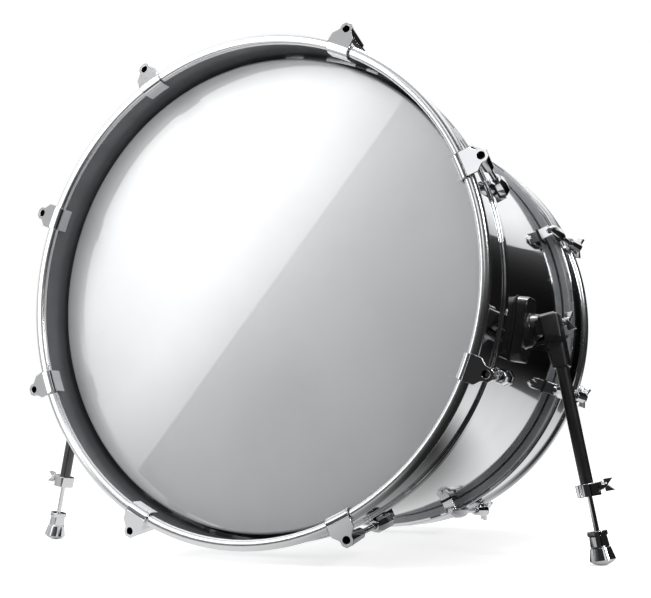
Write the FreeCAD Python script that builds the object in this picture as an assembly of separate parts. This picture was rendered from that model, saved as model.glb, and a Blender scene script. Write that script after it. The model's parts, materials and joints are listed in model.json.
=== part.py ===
"""Bass drum with two heads, claw hooks, tension rods, lugs and a pair of folding spurs.

The drum is drawn about its own axis first: Y runs along the axis from the front head to
the rear head, X to the right seen from the front, Z up, with the front hoop's bead centred on
the plane y = 0. The finished drum is then tipped and set down on its two feet and on the
bottom of its rear hoop. All lengths are in millimetres and all angles in degrees.
"""
import FreeCAD
import Part

import math
import os

from FreeCAD import Vector

# Shell: a ply tube with a bevelled bearing edge at each end
SHELL_DIAMETER = 502.0
SHELL_DEPTH = 355.6
SHELL_WALL = 7.0
BEARING_LAND = 1.0
BEARING_BEVEL = 2.5
VENT_DIAMETER = 10.0
GROMMET_WALL = 1.0
GROMMET_FLANGE = 3.5
GROMMET_LIP = 1.2

# Head: a plastic film with a collar, held in an aluminium flesh hoop
FILM_THICKNESS = 0.5
COLLAR_CLEARANCE = 0.4
FLESH_CLEARANCE = 0.3
FLESH_WIDTH = 7.6
FLESH_DEPTH = 11.0
FILM_GRIP = 4.0
FLESH_ROUND = 1.5

# Counter hoop: a round bead in front, a flat band, and a lip that bears on the flesh hoop
BEAD_DIAMETER = 11.2
BEAD_RISE = 9.0
HOOP_STANDOFF = 33.7
HOOP_DEPTH = 66.0
BAND_WALL = 2.2
LIP_DEPTH = 11.0
LIP_OUTSTAND = 2.6
LIP_INSTAND = 1.5
LIP_ROUND = 2.0

# Claw hooks: places round the hoop, the hook over the bead, the nose and its long sleeve
SIDE_SPREAD = 21.2
TOP_SPREAD = 26.25
CLAW_WIDTH = 25.6
CLAW_PLATE = 1.8
CLAW_LIP = 10.0
LINER_THICKNESS = 0.8
LINER_INSET = 1.0
NOSE_WIDTH = 13.0
NOSE_TIP_WIDTH = 7.0
NOSE_REACH = 6.6
NOSE_SHOULDER = 8.0
NOSE_ROUND = 2.0
SLEEVE_LENGTH = 36.0
SLEEVE_ACROSS = 13.5
SLEEVE_END_ACROSS = 10.5

# Tension rods: they lean in from the claws towards the lugs, and the rear claws reach out less
FRONT_ROD_OFFSET = 18.6
FRONT_ROD_LEAN = 7.0
REAR_ROD_OFFSET = 11.4
REAR_ROD_LEAN = 2.9
ROD_DIAMETER = 5.5
ROD_ROOM = 0.3
THREAD_CLEARANCE = 0.05
HEAD_DIAMETER = 7.0
HEAD_SEAT = 20.0
HEAD_LENGTH = 6.0
KEY_SQUARE = 5.0
KEY_LENGTH = 3.6
WASHER_THICKNESS = 0.8
WASHER_ROOM = 0.05
ROD_PAST_NUT = 8.0
HANDLE_HUB_DIAMETER = 9.0
HANDLE_HUB_LENGTH = 5.0
HANDLE_STANDOFF = 1.5
HANDLE_SPAN = 25.0
HANDLE_SWEEP = 8.0
HANDLE_TIP_DEPTH = 9.0
HANDLE_TIP_THICKNESS = 7.0
HANDLE_TURNS = (90, 54, 60, 120, 126, 90, 49, 131)

# Lugs: faceted bullets on a small foot, each with a swivel nut inside
LUG_GAP = 1.6
LUG_NOSE_ACROSS = 11.0
LUG_ACROSS = 16.0
LUG_NOSE_LENGTH = 12.0
LUG_BODY_LENGTH = 24.0
LUG_TAIL_LENGTH = 14.0
LUG_TAIL_ACROSS = 6.0
LUG_FOOT_WIDTH = 13.0
LUG_FOOT_LENGTH = 24.0
NUT_DIAMETER = 9.6
NUT_LENGTH = 12.0
NUT_ROOM = 0.2
GASKET_THICKNESS = 1.0
GASKET_BORDER = 1.0
LUG_SCREW_DIAMETER = 5.0
LUG_SCREW_GRIP = 8.0
SCREW_HEAD_DIAMETER = 9.0
SCREW_HEAD_HEIGHT = 4.0
SCREW_WASHER_DIAMETER = 14.0
SCREW_WASHER_THICKNESS = 1.2
HOLE_ROOM = 0.3
SEAT = 0.1
CUT_PAST = 1.0

# Spurs: a bracket on each side of the shell, a folding arm, a telescopic leg and a foot
SPUR_ANGLE = -9.2
SPUR_PLACE = 150.0
SPUR_SPLAY = 10.0
PIVOT_STANDOFF = 17.4
BRACKET_HEIGHT = 68.0
BRACKET_DROP = 2.0
BRACKET_WIDTH = 38.0
BRACKET_THICKNESS = 10.2
BRACKET_CORNER = 12.0
BRACKET_SCREW_SPACING = 48.0
BRACKET_SCREW_DIAMETER = 6.0
BRACKET_SCREW_GRIP = 7.0
PIVOT_ROOT_DIAMETER = 36.0
PIVOT_DIAMETER = 33.0
PIVOT_NECK_DIAMETER = 27.0
PIVOT_PAD_DEPTH = 14.0
PIVOT_PAD_TAPER = 4.0
PIVOT_BOSS_TAPER = 9.0
PIVOT_BOLT_DIAMETER = 8.0
PIVOT_BOLT_GRIP = 10.0
ARM_REACH = 24.0
ARM_WEB_HEIGHT = 16.0
HOLDER_SHIFT = 2.0
HOLDER_OFFSET = 28.5
HOLDER_WIDTH = 22.0
HOLDER_END_WIDTH = 15.5
HOLDER_LEAN = 2.25
HOLDER_DEPTH = 20.0
HOLDER_FLARE = 2.0
HOLDER_ABOVE = 6.0
HOLDER_BELOW = 48.5
HOLDER_CORNER = 4.0
HOLDER_TOP_ROUND = 3.0
HOLDER_CAP = 4.0
WING_SHOULDER_DIAMETER = 13.0
WING_SHOULDER_LENGTH = 4.0
WING_NECK = 5.0
WING_HUB_DIAMETER = 9.0
HUB_EDGE = 0.8
WING_SPAN = 18.0
WING_SWEEP = 3.0
WING_TIP_DEPTH = 9.0
WING_TIP_THICKNESS = 4.0
LEG_DIAMETER = 12.6
LEG_BORE = 10.0
LEG_LENGTH = 172.0
ROD_LEG_DIAMETER = 5.0
ROD_LEG_STOP = 8.0
ROD_LEG_TRAVEL = 80.0
LEG_FIT = 0.05
BUSH_LENGTH = 20.0
COLLAR_DIAMETER = 23.0
COLLAR_HEIGHT = 12.0
COLLAR_FLOOR = 5.0
COLLAR_BOSS_REACH = 14.0
COLLAR_BOSS_SIZE = 8.0
CLAMP_SCREW_DIAMETER = 5.0
CLAMP_SPAN = 12.0
CLAMP_HUB_DIAMETER = 6.0
CLAMP_COLLAR = 1.0
FOOT_DROP = 32.4
FOOT_DIAMETER = 24.6
FOOT_WAIST = 18.0
FOOT_NECK = 16.6
FOOT_FLANGE_DIAMETER = 19.2
FOOT_FLANGE_HEIGHT = 4.0
FOOT_NECK_HEIGHT = 11.0
FOOT_BELL_HEIGHT = 12.0
FOOT_GROOVE = 0.7
FOOT_EDGE = 0.8
FOOT_DOME = 5.0
FOOT_SPIGOT_DIAMETER = 13.0
FOOT_SPIGOT_HEIGHT = 8.0

# Sizes that follow from the ones above
SHELL_RADIUS = SHELL_DIAMETER / 2
SHELL_INSIDE = SHELL_RADIUS - SHELL_WALL
BEAD_RADIUS = BEAD_DIAMETER / 2
HOOP_RADIUS = SHELL_RADIUS + BEAD_RISE
DRUM_LENGTH = SHELL_DEPTH + 2 * HOOP_STANDOFF
COLLAR_INSIDE = SHELL_RADIUS + COLLAR_CLEARANCE
COLLAR_OUTSIDE = COLLAR_INSIDE + FILM_THICKNESS
LAND_OUTSIDE = SHELL_RADIUS - BEARING_BEVEL
FLESH_INSIDE = COLLAR_OUTSIDE + FLESH_CLEARANCE
LINER_INSIDE = BEAD_RADIUS + SEAT
LINER_OUTSIDE = LINER_INSIDE + LINER_THICKNESS
CLAW_INSIDE = LINER_OUTSIDE + SEAT
CLAW_OUTSIDE = CLAW_INSIDE + CLAW_PLATE
ROD_RADIUS = ROD_DIAMETER / 2
HEAD_RADIUS = HEAD_DIAMETER / 2
WASHER_FACE = HEAD_SEAT - WASHER_THICKNESS
GASKET_INSIDE = SHELL_RADIUS + SEAT
GASKET_OUTSIDE = GASKET_INSIDE + GASKET_THICKNESS
LEG_RADIUS = LEG_DIAMETER / 2
ROD_LEG_RADIUS = ROD_LEG_DIAMETER / 2

ORIGIN = Vector(0, 0, 0)
X_AXIS = Vector(1, 0, 0)
Y_AXIS = Vector(0, 1, 0)
Z_AXIS = Vector(0, 0, 1)
FULL_TURN = 360.0


def outline(corners):
    """Closed wire in the XY plane through (x, y, radius) corners, each rounded by its radius."""
    count = len(corners)
    stretches = []
    for i, (x, y, radius) in enumerate(corners):
        here = Vector(x, y, 0)
        if radius == 0:
            stretches.append((here, None, here))
            continue
        back = (Vector(*corners[i - 1][:2], 0) - here).normalize()
        ahead = (Vector(*corners[(i + 1) % count][:2], 0) - here).normalize()
        half = back.getAngle(ahead) / 2
        trim = radius / math.tan(half)
        inward = (back + ahead).normalize()
        middle = here + inward * (radius / math.sin(half) - radius)
        stretches.append((here + back * trim, middle, here + ahead * trim))
    edges = []
    for i, (start, middle, end) in enumerate(stretches):
        if middle is not None:
            edges.append(Part.Arc(start, middle, end).toShape())
        following = stretches[(i + 1) % count][0]
        if (following - end).Length > 1e-6:
            edges.append(Part.LineSegment(end, following).toShape())
    return Part.Wire(edges)


def rounded_box(width, height, corner):
    """Wire of a rectangle with rounded corners, centred in the XY plane."""
    return outline([(i * width / 2, j * height / 2, corner) for i, j in ((-1, -1), (1, -1), (1, 1), (-1, 1))])


def outward(solid):
    """The same solid with its faces pointing outwards."""
    if solid.Volume < 0:
        solid.reverse()
    return solid


def turned(corners):
    """Solid of revolution about the Y axis of an outline of (radius, y, corner radius) points."""
    return outward(Part.Face(outline(corners)).revolve(ORIGIN, Y_AXIS, FULL_TURN))


def upright(shape):
    """Turn a shape made along +Y so that it stands along +Z."""
    return shape.rotated(ORIGIN, X_AXIS, 90)


def along_x(shape):
    """Turn a shape made along +Y so that it points along +X."""
    return shape.rotated(ORIGIN, Z_AXIS, -90)


def rod(radius, start, end):
    """Cylinder about the Y axis from y = start to y = end."""
    return Part.makeCylinder(radius, end - start, Vector(0, start, 0), Y_AXIS)


def ring(inside, outside, start, end):
    """Tube about the Y axis from y = start to y = end."""
    return rod(outside, start, end).cut(rod(inside, start, end))


def box(x, y, z):
    """Box between the low and high ends given for each axis."""
    return Part.makeBox(x[1] - x[0], y[1] - y[0], z[1] - z[0], Vector(x[0], y[0], z[0]))


def joined(*solids):
    """One solid from several that overlap."""
    return solids[0].fuse(list(solids[1:])).removeSplitter()


def octagons(*sections):
    """Faceted solid along Y through octagons given as (across flats, y)."""
    wires = []
    for across, y in sections:
        corner = across / 2 / math.cos(math.pi / 8)
        turns = [math.pi / 8 + k * math.pi / 4 for k in range(9)]
        wires.append(Part.makePolygon([Vector(corner * math.cos(t), y, corner * math.sin(t)) for t in turns]))
    return outward(Part.makeLoft(wires, True, True))


def wing_pair(span, hub_radius, root, sweep, tip_depth, tip_thickness):
    """Two flared wings along Z on a hub about the Y axis, leaning back towards -Y."""
    def section(z, y, depth, thickness):
        corners = ((-1, -1), (1, -1), (1, 1), (-1, 1), (-1, -1))
        return Part.makePolygon([Vector(i * thickness / 2, y + j * depth / 2, z) for i, j in corners])

    inner = section(0, root, hub_radius, hub_radius)
    outer = section(span / 2, root - sweep, tip_depth, tip_thickness)
    wing = outward(Part.makeLoft([inner, outer], True, True))
    return wing, wing.mirror(ORIGIN, Z_AXIS)


def station_angles():
    """Angles of the claws round the drum, from the right-hand side, anticlockwise from the front."""
    quarters = ((0, SIDE_SPREAD), (90, TOP_SPREAD), (180, SIDE_SPREAD), (270, TOP_SPREAD))
    return [middle + side * spread for middle, spread in quarters for side in (-1, 1)]


def at_station(shape, angle, rear):
    """Carry a shape from the front station at the drum's right to another station."""
    if rear:
        shape = shape.rotated(Vector(0, DRUM_LENGTH / 2, 0), X_AXIS, 180)
    return shape.rotated(ORIGIN, Y_AXIS, -angle)


def round_the_drum(shape, rear):
    """Copies of one station's shape at every station of the front or of the rear."""
    return [at_station(shape, angle, rear) for angle in station_angles()]


class RodLine:
    """Leaning axis of a tension rod, and the places along it that follow from the hoop and the lug."""

    def __init__(self, offset, lean):
        slope = math.radians(lean)
        self.lean = lean
        self.radius = HOOP_RADIUS + offset
        self.plate_reach = (offset - CLAW_OUTSIDE * math.sin(slope)) / math.cos(slope)
        self.y = self.plate_reach * math.sin(slope) - CLAW_OUTSIDE * math.cos(slope)
        self.lug_start = (HOOP_DEPTH + LUG_GAP - self.y) / math.cos(slope)
        self.body_start = self.lug_start + LUG_NOSE_LENGTH
        self.body_end = self.body_start + LUG_BODY_LENGTH
        self.lug_end = self.body_end + LUG_TAIL_LENGTH
        self.nut_end = self.body_start + NUT_LENGTH
        self.rod_end = self.nut_end + ROD_PAST_NUT
        self.lug_radius = self.radius - self.body_end * math.sin(slope)
        foot_middle = self.y + self.body_end * math.cos(slope)
        self.foot_span = (foot_middle - LUG_FOOT_LENGTH / 2, foot_middle + LUG_FOOT_LENGTH / 2)
        self.screw_place = foot_middle + LUG_SCREW_DIAMETER

    def place(self, shape):
        """Put a shape made along +Y from the claw's face onto the axis of the first rod."""
        return shape.rotated(ORIGIN, Z_AXIS, self.lean).translated(Vector(self.radius, self.y, 0))

    def at_screw(self, shape):
        """Carry a radial shape along the drum to the screw that holds the first lug."""
        return shape.translated(Vector(0, self.screw_place, 0))


FRONT_LINE = RodLine(FRONT_ROD_OFFSET, FRONT_ROD_LEAN)
REAR_LINE = RodLine(REAR_ROD_OFFSET, REAR_ROD_LEAN)


def both_ends(make):
    """Copies at every station of what a function makes for the front and for the rear rod line."""
    return round_the_drum(make(FRONT_LINE), False) + round_the_drum(make(REAR_LINE), True)


def make_shell():
    """Shell tube with bearing edges and the holes for lugs, brackets and vent."""
    front = HOOP_STANDOFF
    rear = DRUM_LENGTH - HOOP_STANDOFF
    land_inside = LAND_OUTSIDE - BEARING_LAND
    slope = land_inside - SHELL_INSIDE
    shell = turned([
        (land_inside, front, 0), (LAND_OUTSIDE, front, 0), (SHELL_RADIUS, front + BEARING_BEVEL, 0),
        (SHELL_RADIUS, rear - BEARING_BEVEL, 0), (LAND_OUTSIDE, rear, 0), (land_inside, rear, 0),
        (SHELL_INSIDE, rear - slope, 0), (SHELL_INSIDE, front + slope, 0)])
    lug_hole = shell_hole(LUG_SCREW_DIAMETER / 2 + HOLE_ROOM)
    lug_holes = both_ends(lambda line: line.at_screw(lug_hole))
    bracket_hole = shell_hole(BRACKET_SCREW_DIAMETER / 2 + HOLE_ROOM)
    bracket_holes = on_both_sides(on_bracket(two_screws(bracket_hole)))
    vent = shell_hole(VENT_DIAMETER / 2 + GROMMET_WALL + SEAT)
    return shell.cut(lug_holes + bracket_holes + [at_vent(vent)])


def radial_rod(radius, start, end):
    """Cylinder along the X axis, which is the radial direction of the first station."""
    return Part.makeCylinder(radius, end - start, Vector(start, 0, 0), X_AXIS)


def shell_hole(radius):
    """Radial cylinder that passes right through the shell's wall."""
    return radial_rod(radius, SHELL_INSIDE - SHELL_WALL, HOOP_RADIUS)


def at_vent(shape):
    """Carry a radial shape to the vent, at the top of the drum halfway along it."""
    return shape.rotated(ORIGIN, Y_AXIS, -90).translated(Vector(0, DRUM_LENGTH / 2, 0))


def make_grommet():
    """Eyelet through the shell, with a flange outside and a rolled flange inside."""
    bore = VENT_DIAMETER / 2
    wall = bore + GROMMET_WALL
    flange = wall + GROMMET_FLANGE
    sag = SHELL_INSIDE - math.sqrt(SHELL_INSIDE ** 2 - flange ** 2)
    inner_face = SHELL_INSIDE - sag - SEAT
    outer_face = SHELL_RADIUS + SEAT
    eyelet = turned([
        (bore, inner_face - GROMMET_LIP, 0), (flange, inner_face - GROMMET_LIP, 0), (flange, inner_face, 0),
        (wall, inner_face, 0), (wall, outer_face, 0), (flange, outer_face, 0),
        (flange, outer_face + GROMMET_LIP, GROMMET_LIP / 2), (bore, outer_face + GROMMET_LIP, 0)])
    return at_vent(along_x(eyelet))


def make_film():
    """Front film: a flat skin over the bearing edge, a collar and a flange held in the flesh hoop."""
    inside = HOOP_STANDOFF
    outside = inside - FILM_THICKNESS
    inner_bend = COLLAR_INSIDE - LAND_OUTSIDE
    grip = film_grip_place()
    flange = COLLAR_OUTSIDE + FLESH_CLEARANCE + FILM_GRIP
    return turned([
        (0, outside, 0), (COLLAR_OUTSIDE, outside, inner_bend + FILM_THICKNESS),
        (COLLAR_OUTSIDE, grip, 0), (flange, grip, 0), (flange, grip + FILM_THICKNESS, 0),
        (COLLAR_INSIDE, grip + FILM_THICKNESS, 0), (COLLAR_INSIDE, inside, inner_bend), (0, inside, 0)])


def film_grip_place():
    """Plane y at which the film's flange lies in the flesh hoop."""
    return HOOP_DEPTH + (FLESH_DEPTH - FILM_THICKNESS) / 2


def make_flesh_hoop():
    """Front flesh hoop: a ring with a slot that holds the film's flange."""
    start = HOOP_DEPTH
    end = start + FLESH_DEPTH
    outside = FLESH_INSIDE + FLESH_WIDTH
    body = turned([
        (FLESH_INSIDE, start, 0), (outside, start, 0), (outside, end, FLESH_ROUND), (FLESH_INSIDE, end, 0)])
    grip = film_grip_place()
    slot_end = FLESH_INSIDE + FILM_GRIP + FLESH_CLEARANCE
    return body.cut(ring(FLESH_INSIDE - FLESH_CLEARANCE, slot_end, grip, grip + FILM_THICKNESS))


def make_hoop():
    """Front counter hoop: a bead, a band and a lip whose flat back bears on the flesh hoop."""
    band_inside = HOOP_RADIUS - BAND_WALL / 2
    band_outside = HOOP_RADIUS + BAND_WALL / 2
    lip_start = HOOP_DEPTH - LIP_DEPTH
    lip_inside = band_inside - LIP_INSTAND
    lip_outside = band_outside + LIP_OUTSTAND
    band = turned([
        (band_inside, 0, 0), (band_outside, 0, 0), (band_outside, lip_start, LIP_ROUND / 2),
        (lip_outside, lip_start, LIP_ROUND / 2), (lip_outside, HOOP_DEPTH, LIP_ROUND),
        (lip_inside, HOOP_DEPTH, 0), (lip_inside, lip_start, 0), (band_inside, lip_start, 0)])
    bead = Part.makeTorus(HOOP_RADIUS, BEAD_RADIUS, ORIGIN, Y_AXIS)
    return joined(band, bead)


def hook_section(lean, inside, outside, lip):
    """Face of a hook round the bead, from a straight lip inside the hoop to the front plate."""
    end = math.radians(lean - 90)
    middle = (end - math.pi) / 2

    def point(radius, angle):
        return Vector(HOOP_RADIUS + radius * math.cos(angle), radius * math.sin(angle), 0)

    lip_outer = Vector(HOOP_RADIUS - outside, lip, 0)
    lip_inner = Vector(HOOP_RADIUS - inside, lip, 0)
    outer = [point(outside, a) for a in (-math.pi, middle, end)]
    inner = [point(inside, a) for a in (end, middle, -math.pi)]
    return Part.Face(Part.Wire([
        Part.LineSegment(lip_outer, outer[0]).toShape(), Part.Arc(*outer).toShape(),
        Part.LineSegment(outer[2], inner[0]).toShape(), Part.Arc(*inner).toShape(),
        Part.LineSegment(inner[2], lip_inner).toShape(), Part.LineSegment(lip_inner, lip_outer).toShape()]))


def hooked(section, width):
    """Turn a hook's section about the drum's axis over a width measured at the bead."""
    sweep = math.degrees(width / HOOP_RADIUS)
    return outward(section.rotated(ORIGIN, Y_AXIS, -sweep / 2).revolve(ORIGIN, Y_AXIS, sweep))


def make_claw(line):
    """Claw hook: the hook, the tapering nose plate and the faceted sleeve round the rod."""
    hook = hooked(hook_section(line.lean, CLAW_INSIDE, CLAW_OUTSIDE, CLAW_LIP), CLAW_WIDTH)
    root = -line.plate_reach - CLAW_PLATE / 2
    half = CLAW_WIDTH / 2
    nose = NOSE_WIDTH / 2
    tip = NOSE_TIP_WIDTH / 2
    edge = [(root, half, 0), (-NOSE_SHOULDER, half, NOSE_ROUND), (-nose / 4, nose, nose),
            (nose / 2, nose, NOSE_ROUND / 2), (NOSE_REACH, tip, NOSE_ROUND / 2)]
    plate_outline = outline(edge + [(x, -z, radius) for x, z, radius in reversed(edge)])
    plate = outward(Part.Face(plate_outline).extrude(Z_AXIS * CLAW_PLATE)).rotated(ORIGIN, X_AXIS, -90)
    sleeve = octagons((SLEEVE_ACROSS, 0), (SLEEVE_ACROSS, CLAW_PLATE), (SLEEVE_END_ACROSS, SLEEVE_LENGTH))
    seat = rod(HEAD_RADIUS + ROD_ROOM, -HEAD_SEAT, HEAD_SEAT)
    hole = rod(ROD_RADIUS + ROD_ROOM, 0, SLEEVE_LENGTH + HEAD_SEAT)
    bead_room = Part.makeTorus(HOOP_RADIUS, CLAW_INSIDE, ORIGIN, Y_AXIS)
    claw = joined(hook, line.place(plate), line.place(sleeve))
    return claw.cut([line.place(seat), line.place(hole), bead_room])


def make_liner(line):
    """Rubber liner between a claw's hook and the bead."""
    section = hook_section(line.lean, LINER_INSIDE, LINER_OUTSIDE, CLAW_LIP / 2)
    return hooked(section, CLAW_WIDTH - 2 * LINER_INSET)


def make_rod_washer(line):
    """Washer under a tension rod's head, at the bottom of the claw's seat, with room for the head to turn."""
    return line.place(ring(ROD_RADIUS + ROD_ROOM / 2, HEAD_RADIUS, WASHER_FACE + WASHER_ROOM, HEAD_SEAT))


def make_key_rod(line):
    """Front tension rod with a sunk round head and a square for the drum key."""
    head_top = WASHER_FACE - HEAD_LENGTH
    half = KEY_SQUARE / 2
    key = box((-half, half), (head_top - KEY_LENGTH, WASHER_FACE), (-half, half))
    shank = rod(ROD_RADIUS, head_top, line.rod_end)
    return line.place(joined(shank, rod(HEAD_RADIUS, head_top, WASHER_FACE), key))


def hub(radius, start, end, edge):
    """Round hub about the Y axis with softened edges."""
    return turned([(0, start, 0), (radius, start, edge), (radius, end, edge), (0, end, 0)])


def make_handle_rod(line, turn):
    """Rear tension rod with a winged handle outside the claw, turned by an angle at rest."""
    hub_end = -HANDLE_STANDOFF
    hub_start = hub_end - HANDLE_HUB_LENGTH
    hub_radius = HANDLE_HUB_DIAMETER / 2
    middle = (hub_start + hub_end) / 2
    wings = wing_pair(HANDLE_SPAN, hub_radius, middle, HANDLE_SWEEP, HANDLE_TIP_DEPTH, HANDLE_TIP_THICKNESS)
    head = rod(HEAD_RADIUS, middle, WASHER_FACE)
    shank = rod(ROD_RADIUS, middle, line.rod_end)
    whole = joined(shank, head, hub(hub_radius, hub_start, hub_end, HUB_EDGE), *wings)
    return line.place(whole.rotated(ORIGIN, Y_AXIS, turn - 90))


def make_nut(line):
    """Swivel nut that a tension rod screws into, held inside the lug."""
    return line.place(ring(ROD_RADIUS + THREAD_CLEARANCE, NUT_DIAMETER / 2, line.body_start, line.nut_end))


def make_lug(line):
    """Faceted lug on its foot, with a pocket for the nut, a way for the rod and a screw hole."""
    bullet = octagons(
        (LUG_NOSE_ACROSS, line.lug_start), (LUG_ACROSS, line.body_start),
        (LUG_ACROSS, line.body_end), (LUG_TAIL_ACROSS, line.lug_end))
    half = LUG_FOOT_WIDTH / 2
    foot = box((GASKET_OUTSIDE, line.lug_radius), line.foot_span, (-half, half))
    room = NUT_DIAMETER / 2 + NUT_ROOM
    pocket = box((-LUG_ACROSS, room), (line.body_start, line.nut_end + NUT_ROOM), (-room, room))
    way = rod(ROD_RADIUS + ROD_ROOM, line.lug_start - CUT_PAST, line.rod_end + 2 * CUT_PAST)
    screw_end = GASKET_OUTSIDE + LUG_SCREW_GRIP
    screw = line.at_screw(radial_rod(LUG_SCREW_DIAMETER / 2 + THREAD_CLEARANCE, SHELL_RADIUS, screw_end))
    return joined(line.place(bullet), foot).cut([line.place(pocket), line.place(way), screw])


def make_lug_gasket(line):
    """Gasket under a lug's foot: flat above, curved to the shell below."""
    half = LUG_FOOT_WIDTH / 2 + GASKET_BORDER
    low, high = line.foot_span
    pad = box((SHELL_INSIDE, GASKET_OUTSIDE), (low - GASKET_BORDER, high + GASKET_BORDER), (-half, half))
    hole = line.at_screw(shell_hole(LUG_SCREW_DIAMETER / 2 + HOLE_ROOM))
    return pad.cut([rod(GASKET_INSIDE, 0, DRUM_LENGTH), hole])


def screw_seat(washer_diameter):
    """Radius from the drum's axis at which a flat washer touches the inside of the shell."""
    return math.sqrt(SHELL_INSIDE ** 2 - (washer_diameter / 2) ** 2) - SEAT


def inside_screw(diameter, tip):
    """Pan-headed screw from inside the shell outwards to a given radius."""
    face = screw_seat(SCREW_WASHER_DIAMETER) - SCREW_WASHER_THICKNESS
    head = radial_rod(SCREW_HEAD_DIAMETER / 2 + diameter / 4, face - SCREW_HEAD_HEIGHT, face)
    return joined(head, radial_rod(diameter / 2, face - SCREW_HEAD_HEIGHT / 2, tip))


def inside_washer(diameter):
    """Washer between an inside screw's head and the shell."""
    face = screw_seat(SCREW_WASHER_DIAMETER)
    blank = radial_rod(SCREW_WASHER_DIAMETER / 2, face - SCREW_WASHER_THICKNESS, face)
    return blank.cut(radial_rod(diameter / 2 + HOLE_ROOM / 2, face - SCREW_WASHER_THICKNESS, face))


def make_lug_screw(line):
    """Screw that holds a lug to the shell."""
    tip = GASKET_OUTSIDE + LUG_SCREW_GRIP - HOLE_ROOM
    return line.at_screw(inside_screw(LUG_SCREW_DIAMETER, tip))


def make_lug_washer(line):
    """Washer under a lug screw's head."""
    return line.at_screw(inside_washer(LUG_SCREW_DIAMETER))


def on_bracket(shapes):
    """Carry radial shapes to the place of the right-hand spur bracket."""
    angle = SPUR_ANGLE - math.degrees(BRACKET_DROP / SHELL_RADIUS)
    return [s.translated(Vector(0, SPUR_PLACE, 0)).rotated(ORIGIN, Y_AXIS, -angle) for s in shapes]


def two_screws(shape):
    """A radial shape turned up and down the shell to the bracket's two screws."""
    turn = math.degrees(BRACKET_SCREW_SPACING / 2 / SHELL_RADIUS)
    return [shape.rotated(ORIGIN, Y_AXIS, side * turn) for side in (-1, 1)]


def mirrored(shape):
    """The left-hand copy of a right-hand shape."""
    return shape.mirror(ORIGIN, X_AXIS)


def on_both_sides(shapes):
    """Right-hand shapes and their left-hand copies."""
    return list(shapes) + [mirrored(s) for s in shapes]


def pivot_origin():
    """Centre of the face on which the right-hand spur turns."""
    angle = math.radians(SPUR_ANGLE)
    radius = SHELL_RADIUS + PIVOT_STANDOFF
    return Vector(radius * math.cos(angle), SPUR_PLACE, radius * math.sin(angle))


def on_pivot(shape):
    """Place a spur piece: made with X along the pivot, Y along the drum and Z up the leg."""
    return shape.rotated(ORIGIN, Y_AXIS, -SPUR_SPLAY).translated(pivot_origin())


LEG_X = ARM_REACH + HOLDER_SHIFT
LEG_Y = -HOLDER_OFFSET
LEG_TOP = HOLDER_ABOVE - HOLDER_CAP
LEG_FOOT = LEG_TOP - LEG_LENGTH
COLLAR_BOTTOM = LEG_FOOT - COLLAR_FLOOR
COLLAR_TOP = COLLAR_BOTTOM + COLLAR_HEIGHT
BUSH_TOP = LEG_FOOT + BUSH_LENGTH
FOOT_HEIGHT = FOOT_FLANGE_HEIGHT + FOOT_NECK_HEIGHT + FOOT_BELL_HEIGHT
FOOT_TOP = COLLAR_BOTTOM - FOOT_DROP
FOOT_RIM = FOOT_TOP - FOOT_HEIGHT
DOME_RADIUS = ((FOOT_DIAMETER / 2) ** 2 + FOOT_DOME ** 2) / (2 * FOOT_DOME)
DOME_CENTRE = FOOT_RIM - FOOT_DOME + DOME_RADIUS


def on_leg(shape):
    """Place a piece made about the Z axis onto the leg's axis, then onto the spur."""
    return on_pivot(shape.translated(Vector(LEG_X, LEG_Y, 0)))


def leg_rod(radius, low, high):
    """Cylinder about the leg's own axis."""
    return Part.makeCylinder(radius, high - low, Vector(0, 0, low), Z_AXIS)


def oblong(border, length):
    """Bar along X with the bracket's outline, grown all round by a border."""
    wire = rounded_box(BRACKET_WIDTH + 2 * border, BRACKET_HEIGHT + 2 * border, BRACKET_CORNER + border)
    upended = Part.Face(wire).rotated(ORIGIN, Vector(1, 1, 1), 120)
    return on_bracket([outward(upended.extrude(X_AXIS * length))])[0]


def make_bracket():
    """Spur bracket: an oblong base curved to the shell and a tapering pad square to the pivot."""
    base = oblong(0, GASKET_OUTSIDE + BRACKET_THICKNESS)
    root = PIVOT_ROOT_DIAMETER / 2
    pad = on_pivot(along_x(turned([
        (0, -PIVOT_PAD_DEPTH, 0), (root, -PIVOT_PAD_DEPTH, 0), (root, -PIVOT_PAD_TAPER, 0),
        (PIVOT_DIAMETER / 2, 0, 0), (0, 0, 0)])))
    bolt = on_pivot(radial_rod(PIVOT_BOLT_DIAMETER / 2 + LEG_FIT, -PIVOT_BOLT_GRIP - CUT_PAST, CUT_PAST))
    drum = rod(GASKET_OUTSIDE + SEAT, 0, DRUM_LENGTH)
    tip = GASKET_OUTSIDE + BRACKET_SCREW_GRIP + HOLE_ROOM
    screw = radial_rod(BRACKET_SCREW_DIAMETER / 2 + THREAD_CLEARANCE, SHELL_INSIDE, tip)
    return joined(base, pad).cut([drum, bolt] + on_bracket(two_screws(screw)))


def make_bracket_gasket():
    """Thin gasket between a spur bracket and the shell."""
    skin = ring(GASKET_INSIDE, GASKET_OUTSIDE, 0, DRUM_LENGTH)
    hole = shell_hole(BRACKET_SCREW_DIAMETER / 2 + HOLE_ROOM)
    return oblong(GASKET_BORDER, HOOP_RADIUS).common(skin).cut(on_bracket(two_screws(hole)))


def make_bracket_screws():
    """The two screws of one spur bracket."""
    tip = GASKET_OUTSIDE + BRACKET_SCREW_GRIP
    return on_bracket(two_screws(inside_screw(BRACKET_SCREW_DIAMETER, tip)))


def make_bracket_washers():
    """The two washers of one spur bracket's screws."""
    return on_bracket(two_screws(inside_washer(BRACKET_SCREW_DIAMETER)))


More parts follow.
